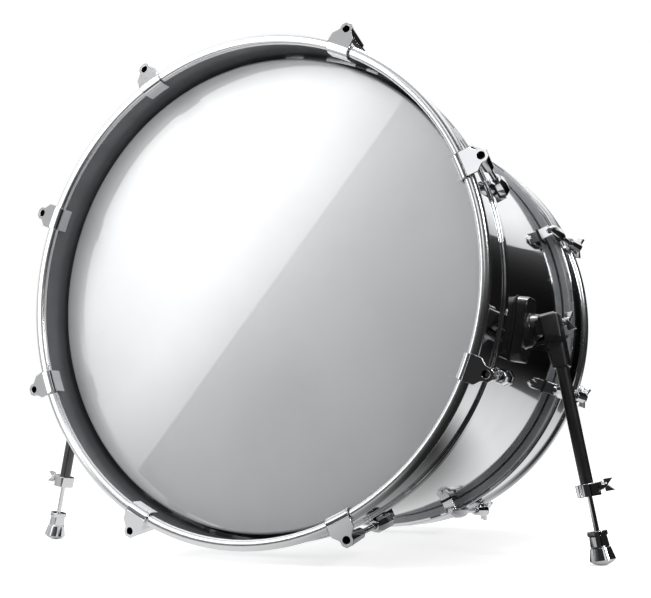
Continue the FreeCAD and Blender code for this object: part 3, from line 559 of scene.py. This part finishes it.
@dataclass
class Drum:
    """The drum's own frame and the sizes that its pieces share."""

    shell_diameter: float = 502.0
    shell_depth: float = 355.6
    bearing_bevel: float = 2.5
    hoop_standoff: float = 33.7
    hoop_depth: float = 66.0
    bead_rise: float = 9.0
    side_spread: float = 21.2
    top_spread: float = 26.25
    stations: int = 8
    segments: int = 224

    def __post_init__(self) -> None:
        """Find the drum's place from its shell and from the pivots, which its axis is square to."""
        pivots = [Vector(j["axis"]) for j in frame["joints"] if j["name"].endswith("spur_fold")]
        along = pivots[0].cross(pivots[1]).normalized()
        along *= math.copysign(1, along.y)
        across = Vector((1, 0, 0))
        low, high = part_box("shell")
        self.place = Matrix((across, along, across.cross(along))).transposed().to_4x4()
        self.place.translation = (low + high) / 2 - along * (self.length * MM / 2)
        self.turning = turning_tree()
        self.repeating = station_tree()

    @property
    def length(self) -> float:
        """Distance between the planes of the two beads."""
        return self.shell_depth + 2 * self.hoop_standoff

    @property
    def hoop_radius(self) -> float:
        """Radius of the bead's centre line."""
        return self.shell_diameter / 2 + self.bead_rise

    def placed(self, name: str, tree: Tree, finish: Finish, inputs: dict) -> Object:
        """Run a geometry tree at the drum's own place, with its other inputs given by name."""
        return run_tree(name, tree, inputs | {
            "Location": self.place.to_translation(), "Rotation": self.place.to_euler(),
            "Material": finish.material()})

    def turned(self, name: str, outline: Outline, finish: Finish, end: End = End.FRONT) -> Object:
        """Turn an outline about the drum's axis.

        Args:
            name: the piece's name.
            outline: (radius, height) points in millimetres, as they are at the front.
            finish: what the piece is made of.
            end: the end of the drum that they are carried to.

        Returns:
            The turned piece.
        """
        if end is End.REAR:
            outline = [(r, self.length - y) for r, y in outline]
        mesh = bpy.data.meshes.new(name + "_outline")
        mesh.from_pydata([(r * MM, y * MM, 0.0) for r, y in outline], [], [])
        guide = shown(name + "_outline", mesh)
        piece = self.placed(name, self.turning, finish, {
            "Outline": guide, "Points": len(outline), "Segments": self.segments})
        bpy.data.objects.remove(guide)
        return shaded(piece)

    def repeated(self, name: str, pattern: Object, finish: Finish) -> Object:
        """Repeat a pattern, which lies at the drum's right in its own frame, at every station."""
        return self.placed(name, self.repeating, finish, {
            "Pattern": pattern, "Count": self.stations,
            "Side Spread": math.radians(self.side_spread), "Top Spread": math.radians(self.top_spread)})

    def seen_flat(self, face: bpy.types.MeshPolygon) -> tuple[Vector, Vector, float]:
        """A face in the drum's own frame.

        Args:
            face: a face of a finished piece.

        Returns:
            Its centre in millimetres, its direction, and a number above zero if it looks outwards.
        """
        flat = self.place.inverted()
        centre = flat @ face.center / MM
        way = flat.to_3x3() @ face.normal
        return centre, way, way.x * centre.x + way.z * centre.z

    def pattern(self, node: str, bevel: float) -> Object:
        """One solid of the first station, brought to the drum's right with softened edges.

        Args:
            node: the CAD node that holds it.
            bevel: width of its rounded edges.

        Returns:
            The solid, to repeat and then remove.
        """
        work = merged(node)
        work.transform(self.place.inverted())
        first = math.radians(-self.side_spread)

        def off_station(island: list[bmesh.types.BMVert]) -> float:
            """Angle between a solid and the first station."""
            middle = sum((v.co for v in island), Vector()) / len(island)
            return abs(math.remainder(math.atan2(middle.z, middle.x) - first, math.tau))

        wanted = set(min(islands(work), key=off_station))
        bmesh.ops.delete(work, geom=[v for v in work.verts if v not in wanted], context="VERTS")
        work.transform(Matrix.Rotation(first, 4, "Y"))
        return shaded(shape_of(node + "_pattern", work), bevel)


def merged(node: str) -> bmesh.types.BMesh:
    """Merge a CAD node's loose triangles, with flat areas made whole faces.

    Args:
        node: the CAD node.

    Returns:
        A copy to work on.
    """
    work = bmesh.new()
    work.from_mesh(frame["nodes"][node].data)
    bmesh.ops.remove_doubles(work, verts=work.verts, dist=MERGE_DISTANCE)
    bmesh.ops.dissolve_limit(work, angle_limit=FLAT_ANGLE, verts=work.verts, edges=work.edges)
    return work


def islands(work: bmesh.types.BMesh) -> list[list[bmesh.types.BMVert]]:
    """Find the separate solids of a mesh.

    Args:
        work: the mesh.

    Returns:
        The points of each solid.
    """
    left = set(work.verts)
    found = []
    while left:
        edge = [left.pop()]
        island = list(edge)
        while edge:
            near = {e.other_vert(v) for v in edge for e in v.link_edges} & left
            left -= near
            edge = list(near)
            island += edge
        found.append(island)
    return found


def soft_copy(name: str, node: str, bevel: float) -> Object:
    """A copy of a CAD node with edges rounded to a width and even shading."""
    return shaded(shape_of(name, merged(node)), bevel)


@dataclass
class Shell:
    """Ply tube with a chrome wrap outside, bearing edges and a vent."""

    drum: Drum
    wall: float = 7.0
    land: float = 1.0
    vent_hole: float = 12.2
    vent_sides: int = 32
    vent_cut: float = 28.0
    vent_strip: float = 20.0

    def build(self) -> None:
        """Turn the tube, cut the vent and lay the wrap on its outside."""
        outside = self.drum.shell_diameter / 2
        inside = outside - self.wall
        bevel = self.drum.bearing_bevel
        land_out = outside - bevel
        land_in = land_out - self.land
        slope = land_in - inside
        front = self.drum.hoop_standoff
        rear = self.drum.length - front
        middle = self.drum.length / 2
        piece = self.drum.turned("chrome_shell", [
            (land_in, front), (land_out, front), (outside, front + bevel),
            (outside, middle - self.vent_strip), (outside, middle + self.vent_strip),
            (outside, rear - bevel), (land_out, rear), (land_in, rear), (inside, rear - slope),
            (inside, middle + self.vent_strip), (inside, middle - self.vent_strip), (inside, front + slope),
            (land_in, front)], SHELL_WRAP)
        self.cut_vent(piece)
        dressed(piece, SHELL_WRAP, Slot.SHELL, "drum", "shell")
        bare = further(piece, BIRCH)
        for face in piece.data.polygons:
            _, way, outwards = self.drum.seen_flat(face)
            if outwards <= 0 or abs(way.y) >= LYING:
                face.material_index = bare
        grommet = soft_copy("vent_eyelet", "vent_grommet", CRISP)
        dressed(grommet, CHROME, Slot.CHROME, "drum", "vent_grommet")

    def cut_vent(self, piece: Object) -> None:
        """Open the shell under the grommet.

        Args:
            piece: the shell.
        """
        low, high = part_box("vent_grommet")
        work = bmesh.new()
        radius = self.vent_hole * MM / 2
        bmesh.ops.create_cone(work, cap_ends=True, segments=self.vent_sides, radius1=radius, radius2=radius,
                              depth=self.vent_cut * MM)
        lean = self.drum.place.to_3x3().to_4x4()
        work.transform(Matrix.Translation((low + high) / 2) @ lean)
        cutter = shape_of("vent_cutter", work)
        hole = piece.modifiers.new("Vent", "BOOLEAN")
        hole.operation = "DIFFERENCE"
        hole.solver = "EXACT"
        hole.object = cutter
        settle(piece)
        bpy.data.objects.remove(cutter)
        shaded(piece)


@dataclass
class Head:
    """Film and flesh hoop of one end."""

    drum: Drum
    end: End
    film: float = 0.5
    collar_clearance: float = 0.4
    flesh_clearance: float = 0.3
    flesh_width: float = 7.6
    flesh_depth: float = 11.0
    flesh_round: float = 1.5
    grip: float = 4.0

    def build(self) -> None:
        """Turn the film with its collar, and the ring that holds it."""
        name = self.end.value
        inside = self.drum.hoop_standoff
        collar_in = self.drum.shell_diameter / 2 + self.collar_clearance
        collar_out = collar_in + self.film
        flesh_in = collar_out + self.flesh_clearance
        bend = self.collar_clearance + self.drum.bearing_bevel
        start = self.drum.hoop_depth
        hold = start + (self.flesh_depth - self.film) / 2
        skin = rounded([
            (0, inside - self.film, 0), (collar_out, inside - self.film, bend + self.film),
            (collar_out, hold, 0), (flesh_in + self.grip, hold, 0),
            (flesh_in + self.grip, hold + self.film, 0), (collar_in, hold + self.film, 0),
            (collar_in, inside, bend), (0, inside, 0)])[:-1]
        film = self.drum.turned(name + "_head_film", skin, HEAD_FILM, self.end)
        dressed(film, HEAD_FILM, Slot.FILM, "drum", name + "_film")
        end = start + self.flesh_depth
        outside = flesh_in + self.flesh_width
        ring = rounded([
            (flesh_in, start, 0), (outside, start, 0), (outside, end, self.flesh_round), (flesh_in, end, 0)])
        # The front ring gets the near-black painted shade of the gap, the rear ring its plain satin metal
        metal = SHADED_FLESH_METAL if self.end is End.FRONT else BRIGHT_FLESH
        flesh = self.drum.turned(name + "_head_ring", ring, metal, self.end)
        dressed(flesh, metal, Slot.FLESH, "drum", name + "_flesh_hoop")


@dataclass
class CounterHoop:
    """Counter hoop of one end: a round bead, a band and a lip on the flesh hoop."""

    drum: Drum
    end: End
    bead: float = 11.2
    wall: float = 2.2
    lip_depth: float = 11.0
    lip_outstand: float = 2.6
    lip_instand: float = 1.5
    lip_round: float = 2.0
    bead_steps: int = 40

    def build(self) -> None:
        """Turn the hoop in one piece."""
        radius = self.drum.hoop_radius
        outside = radius + self.wall / 2
        inside = radius - self.wall / 2
        depth = self.drum.hoop_depth
        lip = depth - self.lip_depth
        open_angle = math.acos(self.wall / self.bead)
        sweep = math.tau - 2 * (math.pi / 2 - open_angle)
        angles = [open_angle - sweep * k / self.bead_steps for k in range(self.bead_steps + 1)]
        bead = [(radius + self.bead / 2 * math.cos(a), self.bead / 2 * math.sin(a)) for a in angles]
        edge = self.lip_round / 2
        band = rounded([
            (inside, lip, 0), (inside - self.lip_instand, lip, 0), (inside - self.lip_instand, depth, 0),
            (outside + self.lip_outstand, depth, self.lip_round), (outside + self.lip_outstand, lip, edge),
            (outside, lip, edge), bead[0] + (0,)])[:-2]
        name = self.end.value + "_hoop"
        piece = self.drum.turned(name + "_chrome", bead + band + bead[:1], HOOP_CHROME, self.end)
        dressed(piece, HOOP_CHROME, Slot.HOOP, "drum", name)
        self.buff_bead_and_shade_inside(piece)

    def buff_bead_and_shade_inside(self, piece: Object) -> None:
        """Give the bead its buffed finish and the band's inner face a dim grey that is painted shade.

        Args:
            piece: the hoop.
        """
        dim, buffed = further(piece, SHADED_HOOP_INSIDE), further(piece, BEAD_CHROME)
        for face in piece.data.polygons:
            centre, _, outwards = self.drum.seen_flat(face)
            if min(abs(centre.y), abs(self.drum.length - centre.y)) < self.bead / 2:
                face.material_index = buffed
            elif outwards < 0 and math.hypot(centre.x, centre.z) > self.drum.hoop_radius - self.wall:
                face.material_index = dim


@dataclass
class Tension:
    """Claws, lugs and tension rods of one end."""

    drum: Drum
    end: End
    claw_edge: float = 0.35
    lug_edge: float = 0.45
    rod_edge: float = 0.3
    bore: float = 4.3

    def build(self) -> None:
        """Repeat the claws and lugs, then give each rod a piece of its own."""
        name = self.end.value
        for group, edge in (("claws", self.claw_edge), ("lugs", self.lug_edge)):
            node = "%s_%s" % (name, group)
            pattern = self.drum.pattern(node, edge)
            piece = self.drum.repeated(node + "_chrome", pattern, CHROME)
            bpy.data.objects.remove(pattern)
            dressed(piece, CHROME, Slot.CHROME, "drum", node)
            self.shade_bores(piece)
        for number in range(1, self.drum.stations + 1):
            node = "%s_tension_rod_%d" % (name, number)
            rod = soft_copy(node + "_chrome", node, self.rod_edge)
            dressed(rod, CHROME, Slot.CHROME, node, node)

    def shade_bores(self, piece: Object) -> None:
        """Give the faces round the rods a near-black finish: painted shade in the bores.

        Args:
            piece: the claws or the lugs.
        """
        dark = further(piece, SHADED_BORE)
        rods = [(Vector(j["pos_m"]), Vector(j["axis"]).normalized()) for j in frame["joints"]
                if j["child"].startswith(self.end.value + "_tension_rod")]
        for face in piece.data.polygons:
            for start, way in rods:
                away = face.center - start
                away -= way * away.dot(way)
                inward = face.normal.dot(away) < 0 and abs(face.normal.dot(way)) < LYING
                if inward and away.length < self.bore * MM:
                    face.material_index = dark


@dataclass
class Spur:
    """Folding spur of one side, from its bracket down to its foot."""

    side: Side
    casting_edge: float = 0.8
    collar_edge: float = 0.4
    screw_edge: float = 0.3

    def build(self) -> None:
        """Copy each casting and turned piece with softened edges and dress it."""
        side = self.side.value
        pieces = (
            ("spur_bracket", BLACK_ENAMEL, Slot.CASTING, "drum", self.casting_edge),
            ("spur_arm", BLACK_ENAMEL, Slot.CASTING, side + "_spur", self.casting_edge),
            ("spur_pivot_bolt", CHROME, Slot.CHROME, side + "_pivot_bolt", self.collar_edge),
            ("leg_tube", BLACK_ENAMEL, Slot.CASTING, side + "_spur", CRISP),
            ("leg_collar", CHROME, Slot.CHROME, side + "_spur", self.collar_edge),
            ("leg_clamp_screw", CHROME, Slot.CHROME, side + "_clamp_screw", self.screw_edge),
            ("leg_rod", CHROME, Slot.CHROME, side + "_leg", CRISP),
            ("foot_bell", CHROME, Slot.CHROME, side + "_leg", CRISP),
            ("foot_rubber", PALE_RUBBER, Slot.GREY_RUBBER, side + "_leg", CRISP),
        )
        for label, finish, slot, body, edge in pieces:
            node = "%s_%s" % (side, label)
            dressed(soft_copy(node + "_dressed", node, edge), finish, slot, body, node)
        painted(frame["nodes"][side + "_leg_bush"], NYLON)


@dataclass
class Fastenings:
    """Small CAD pieces that stay as they are and get a finish."""

    rubber: tuple[str, ...] = ("claw_liners", "lug_gaskets", "spur_gaskets")
    zinc: tuple[str, ...] = ("rod_washers", "swivel_nuts", "lug_screws", "lug_screw_washers",
                             "spur_bracket_screws", "spur_bracket_washers")

    def build(self) -> None:
        """Dress them."""
        for nodes, finish in ((self.rubber, DARK_RUBBER), (self.zinc, ZINC)):
            for node in nodes:
                painted(frame["nodes"][node], finish)


def facing(tree: Tree, place: Socket, way: Vector, edge: Pair) -> Socket:
    """How far a place lies in a direction: zero below the edge's first cosine, one above its second."""
    match = vector_calc(tree, "DOT_PRODUCT", vector_calc(tree, "NORMALIZE", place), way)
    return ranged(tree, match, edge, soft=True)


@dataclass
class Surround:
    """Painted floor and wall, in metres, that only mirrors see.

    The floor is pale on the left and behind and dark on the right. The wall is pale above a black band,
    grey right down on the left, and dark all the way up on the right.
    """

    radius: float = 2.6
    height: float = 3.0
    lift: float = 0.0015
    sides: int = 96
    floor_end: float = 1.0
    band_top: float = 1.0
    low_border: float = 0.2
    low_fade: float = 0.2
    top_border: float = 0.085
    top_fade: float = 0.13
    over_band: float = 0.66
    white_rise: float = 0.22
    dark: float = 0.015
    pale_floor: float = 0.75
    rear_floor: Pair = (0.8, 0.56)
    rear_start: float = 0.4
    rear_edge: Pair = (0.05, 0.35)
    right_edge: Pair = (0.25, -0.05)
    left_wall: Pair = (0.38, 0.95)
    left_way: Triple = (-0.94, -0.34, 0.0)
    right_way: Triple = (0.985, 0.174, 0.0)
    turn_edge: Pair = (0.4, 0.75)

    def sheet(self) -> tuple[list[Triple], list[tuple[int, ...]]]:
        """The floor and the wall as one sheet.

        Returns:
            Its points and its faces.
        """
        rings = ((self.lift, self.lift), (self.radius, self.lift), (self.radius, self.height))
        turns = [math.tau * k / self.sides for k in range(self.sides)]
        points = [(r * math.cos(t), r * math.sin(t), z) for r, z in rings for t in turns]
        faces = []
        for ring in range(len(rings) - 1):
            for k in range(self.sides):
                here, following = ring * self.sides + k, ring * self.sides + (k + 1) % self.sides
                faces.append((here, following, following + self.sides, here + self.sides))
        return points, faces

    def paint(self) -> bpy.types.Material:
        """The tones of the sheet as an emission.

        Returns:
            The material.
        """
        made, tree = bare_material("painted_surround")
        place = add(tree, "ShaderNodeTexCoord").outputs["Object"]
        across, back, up = add(tree, "ShaderNodeSeparateXYZ", {"Vector": place}).outputs
        flat = add(tree, "ShaderNodeCombineXYZ", {"X": across, "Y": back}).outputs["Vector"]
        along = calc(tree, "ADD", vector_calc(tree, "LENGTH", flat), up)
        left, right = (facing(tree, flat, Vector(way), self.turn_edge)
                       for way in (self.left_way, self.right_way))
        open_left = ranged(tree, along, (self.radius, self.radius + self.height / 2), self.left_wall)
        wall = mixed(tree, left, self.band(tree, along), open_left)
        dim_wall = mixed(tree, right, wall, self.dark)
        on_wall = calc(tree, "GREATER_THAN", along, self.floor_end)
        glowing(tree, mixed(tree, on_wall, self.floor(tree, across, back, along), dim_wall))
        return made

    def band(self, tree: Tree, along: Socket) -> Socket:
        """The black band, which lightens towards both its borders, and the pale wall above it.

        Args:
            tree: the node tree.
            along: distance outwards on the floor and then up the wall.

        Returns:
            The tone's socket.
        """
        edge = self.radius + self.band_top
        depths = ((self.floor_end, -1 / self.low_fade, self.low_border),
                  (edge, 1 / self.top_fade, self.top_border))
        borders = []
        for start, rate, tone in depths:
            depth = calc(tree, "MULTIPLY", calc(tree, "SUBTRACT", along, start), rate)
            borders.append(calc(tree, "MULTIPLY", calc(tree, "EXPONENT", depth), tone))
        pale = ranged(tree, along, (edge, edge + self.white_rise), (self.over_band, 1.0))
        return mixed(tree, calc(tree, "GREATER_THAN", along, edge), calc(tree, "ADD", *borders), pale)

    def floor(self, tree: Tree, across: Socket, back: Socket, along: Socket) -> Socket:
        """The floor's tone.

        Args:
            tree: the node tree.
            across: place from left to right.
            back: place from front to rear.
            along: distance outwards.

        Returns:
            The tone's socket.
        """
        behind = ranged(tree, back, self.rear_edge, soft=True)
        fade = ranged(tree, along, (self.rear_start, self.floor_end), self.rear_floor)
        beside = ranged(tree, across, self.right_edge, (self.dark, self.pale_floor), soft=True)
        return mixed(tree, behind, beside, fade)


@dataclass
class HeadCard:
    """Graded card in front, placed where the camera sees it in the front head.

    Its tone runs from grey to white across a slanting line, where it steps, and dims again at the lower
    left. Round the part that the head shows, a grey rim is for the bead and the claws, with a white and a
    black place on the right.
    """

    drum: Drum
    eye: Vector
    distance: float = 250.0
    cover: float = 2.0
    line_low: Pair = (-148.0, -194.0)
    line_high: Pair = (173.0, 186.0)
    span: float = 0.293
    strength: float = 2.6
    stops: tuple[tuple[float, str], ...] = (
        (0.0, "#282828"), (0.32, "#3a3a3a"), (0.499, "#606060"), (0.501, "#bebebe"), (0.65, WHITE))
    rim: Pair = (258.0, 275.0)
    rim_tone: float = 0.5
    pale_angle: float = 20.0
    pale_tone: float = 1.05
    pale_end: Pair = (346.0, 362.0)
    outer_tone: float = 0.08
    black_angle: float = -24.0
    black_tone: float = 0.025
    turn_edge: Pair = (0.9, 0.95)
    shade_angle: float = 188.0
    shade_span: Pair = (125.0, 215.0)
    shade: float = 0.6

    def on_card(self, x: float, z: float) -> Vector:
        """Find what the camera sees of the card at a point of the head.

        Args:
            x: the point's place across the head.
            z: its height.

        Returns:
            The card's point in the drum's own frame.
        """
        film = self.drum.hoop_standoff
        mirrored = Vector((self.eye.x, 2 * film - self.eye.y, self.eye.z))
        reach = (mirrored.y + self.distance) / (mirrored.y - film)
        return mirrored + (Vector((x, film, z)) - mirrored) * reach

    def enlarged(self, span: Pair) -> Pair:
        """Two lengths on the head as they are on the card, in metres."""
        near, far = ((self.on_card(length, 0) - self.on_card(0, 0)).length * MM for length in span)
        return near, far

    def turned(self, angle: float) -> Vector:
        """The direction on the card at an angle from the drum's right, in the shared frame."""
        turn = math.radians(angle)
        return self.drum.place.to_3x3() @ Vector((math.cos(turn), 0, math.sin(turn)))

    def corners(self) -> list[Vector]:
        """The card's corners in the shared frame."""
        half = self.drum.hoop_radius * self.cover
        return [self.drum.place @ (self.on_card(i * half, j * half) * MM) for i, j in SQUARE]

    def paint(self) -> bpy.types.Material:
        """The card's tones as an emission.

        Returns:
            The material.
        """
        low, high = self.on_card(*self.line_low), self.on_card(*self.line_high)
        line = (high - low).normalized()
        way = self.drum.place.to_3x3() @ Vector((-line.z, 0, line.x))
        start = self.drum.place @ ((low + high) / 2 * MM)
        made, tree = bare_material("graded_card")
        place = add(tree, "ShaderNodeTexCoord").outputs["Object"]
        far = vector_calc(tree, "DOT_PRODUCT", vector_calc(tree, "SUBTRACT", place, start), way)
        tone = ramped(tree, ranged(tree, far, (-self.span, self.span)), *self.stops)
        glowing(tree, self.with_rim(tree, place, calc(tree, "MULTIPLY", tone, self.strength)))
        return made

    def with_rim(self, tree: Tree, place: Socket, graded: Socket) -> Socket:
        """The graded tone inside, the rim's tones outside.

        Args:
            tree: the node tree.
            place: the point on the card.
            graded: the tone inside.

        Returns:
            The tone's socket.
        """
        put = vector_calc(tree, "SUBTRACT", place, self.drum.place @ (self.on_card(0, 0) * MM))
        away = vector_calc(tree, "LENGTH", put)
        outside = ranged(tree, away, self.enlarged(self.rim), soft=True)
        pale = ranged(tree, away, self.enlarged(self.pale_end), (self.pale_tone, self.outer_tone), soft=True)
        tone = self.rim_tone
        for angle, value in ((self.pale_angle, pale), (self.black_angle, self.black_tone)):
            tone = mixed(tree, facing(tree, put, self.turned(angle), self.turn_edge), tone, value)
        leaning = vector_calc(tree, "DOT_PRODUCT", put, self.turned(self.shade_angle))
        dim = ranged(tree, leaning, self.enlarged(self.shade_span), (1.0, self.shade))
        return mixed(tree, outside, calc(tree, "MULTIPLY", graded, dim), tone)


@dataclass(frozen=True)
class SoftBox:
    """One soft lamp: its name, its place and size in metres, and its watts."""

    name: str
    place: Triple
    size: float
    power: float


@dataclass
class Studio:
    """Floor, white surround, soft lamps, reflector cards and the camera."""

    drum: Drum
    camera_place: Triple = (524.4, -872.3, -172.5)
    camera_way: Triple = (-0.4339, 0.8877, 0.1537)
    camera_up: Triple = (0.0652, -0.1392, 0.9881)
    lens: float = 55.66
    floor_size: float = 60.0
    floor_paint: str = "#e6e6e6"
    floor_lift: float = 0.6
    sky: float = 0.75
    lamp_aim: Triple = (0.0, 0.0, 0.27)
    lamps: tuple[SoftBox, ...] = (
        SoftBox("key_box", (-1.6, -1.9, 2.0), 0.9, 30.0), SoftBox("side_box", (2.0, -0.9, 1.3), 0.5, 9.0),
        SoftBox("top_box", (0.3, 0.4, 2.4), 0.8, 18.0))

    def build(self) -> None:
        """Set the whole studio up."""
        self.make_camera()
        self.make_world()
        self.make_floor()
        self.make_lamps()
        self.make_cards()
        bpy.context.scene.view_settings.view_transform = "Standard"

    def make_camera(self) -> None:
        """The camera at the photograph's viewing angle."""
        data = bpy.data.cameras.new("photo_camera")
        data.lens = self.lens
        camera = shown("photo_camera", data)
        way = Vector(self.camera_way).normalized()
        right = way.cross(Vector(self.camera_up)).normalized()
        turn = Matrix((right, right.cross(way), -way)).transposed().to_4x4()
        turn.translation = Vector(self.camera_place) * MM
        camera.matrix_world = self.drum.place @ turn
        bpy.context.scene.camera = camera

    def make_world(self) -> None:
        """Surround that lights softly and is white to the camera, in mirrors and through glass."""
        world = bpy.data.worlds.new("white_surround")
        world.use_nodes = True
        tree = world.node_tree
        tree.nodes.clear()
        path = add(tree, "ShaderNodeLightPath").outputs
        either = calc(tree, "MAXIMUM", path["Is Camera Ray"], path["Is Glossy Ray"])
        direct = calc(tree, "MAXIMUM", either, path["Is Transmission Ray"])
        strength = ranged(tree, direct, (0.0, 1.0), (self.sky, 1.0))
        light = add(tree, "ShaderNodeBackground", {"Color": linear(WHITE), "Strength": strength})
        add(tree, "ShaderNodeOutputWorld", {"Surface": light.outputs["Background"]})
        bpy.context.scene.world = world

    def make_floor(self) -> None:
        """Pale floor that keeps the object's shadow and fades into the white."""
        half = self.floor_size / 2
        mesh = bpy.data.meshes.new("floor")
        mesh.from_pydata([(i * half, j * half, 0) for i, j in SQUARE], [], [(0, 1, 2, 3)])
        floor = shown("floor", mesh)
        made, tree = bare_material("pale_studio_floor")
        path = add(tree, "ShaderNodeLightPath")
        lift = calc(tree, "MULTIPLY", path.outputs["Is Camera Ray"], self.floor_lift)
        paint = add(tree, "ShaderNodeBsdfDiffuse", {"Color": linear(self.floor_paint)})
        glow = add(tree, "ShaderNodeEmission", {"Strength": lift})
        both = add(tree, "ShaderNodeAddShader", {0: paint.outputs["BSDF"], 1: glow.outputs["Emission"]})
        add(tree, "ShaderNodeOutputMaterial", {"Surface": both.outputs["Shader"]})
        mesh.materials.append(made)

    def make_lamps(self) -> None:
        """The soft boxes, all aimed at the drum."""
        for box in self.lamps:
            data = bpy.data.lights.new(box.name, "AREA")
            data.size = box.size
            data.energy = box.power
            lamp = shown(box.name, data)
            lamp.location = box.place
            aim = Vector(self.lamp_aim) - lamp.location
            lamp.rotation_euler = aim.to_track_quat("-Z", "Y").to_euler()

    def card(self, name: str, points: list, faces: list, material: bpy.types.Material) -> None:
        """A card that only mirrors see.

        Args:
            name: the card's name.
            points: its corners.
            faces: its faces, as numbers of corners.
            material: what it shows.
        """
        mesh = bpy.data.meshes.new(name)
        mesh.from_pydata(points, [], faces)
        mesh.materials.append(material)
        obj = shown(name, mesh)
        obj.visible_camera = obj.visible_diffuse = obj.visible_shadow = False

    def make_cards(self) -> None:
        """A graded card that the front head mirrors, and a painted surround that the chrome mirrors."""
        surround = Surround()
        self.card("painted_surround", *surround.sheet(), surround.paint())
        graded = HeadCard(self.drum, Vector(self.camera_place))
        self.card("graded_card", graded.corners(), [(0, 1, 2, 3)], graded.paint())


def main() -> None:
    """Build every sub-assembly in order and log each dressed piece's face count."""
    logging.basicConfig(level=logging.INFO, format="%(name)s: %(message)s")
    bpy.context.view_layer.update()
    drum = Drum()
    Studio(drum).build()
    Shell(drum).build()
    for end in End:
        Head(drum, end).build()
        CounterHoop(drum, end).build()
        Tension(drum, end).build()
    for side in Side:
        Spur(side).build()
    Fastenings().build()


if __name__ == "__main__":
    main()
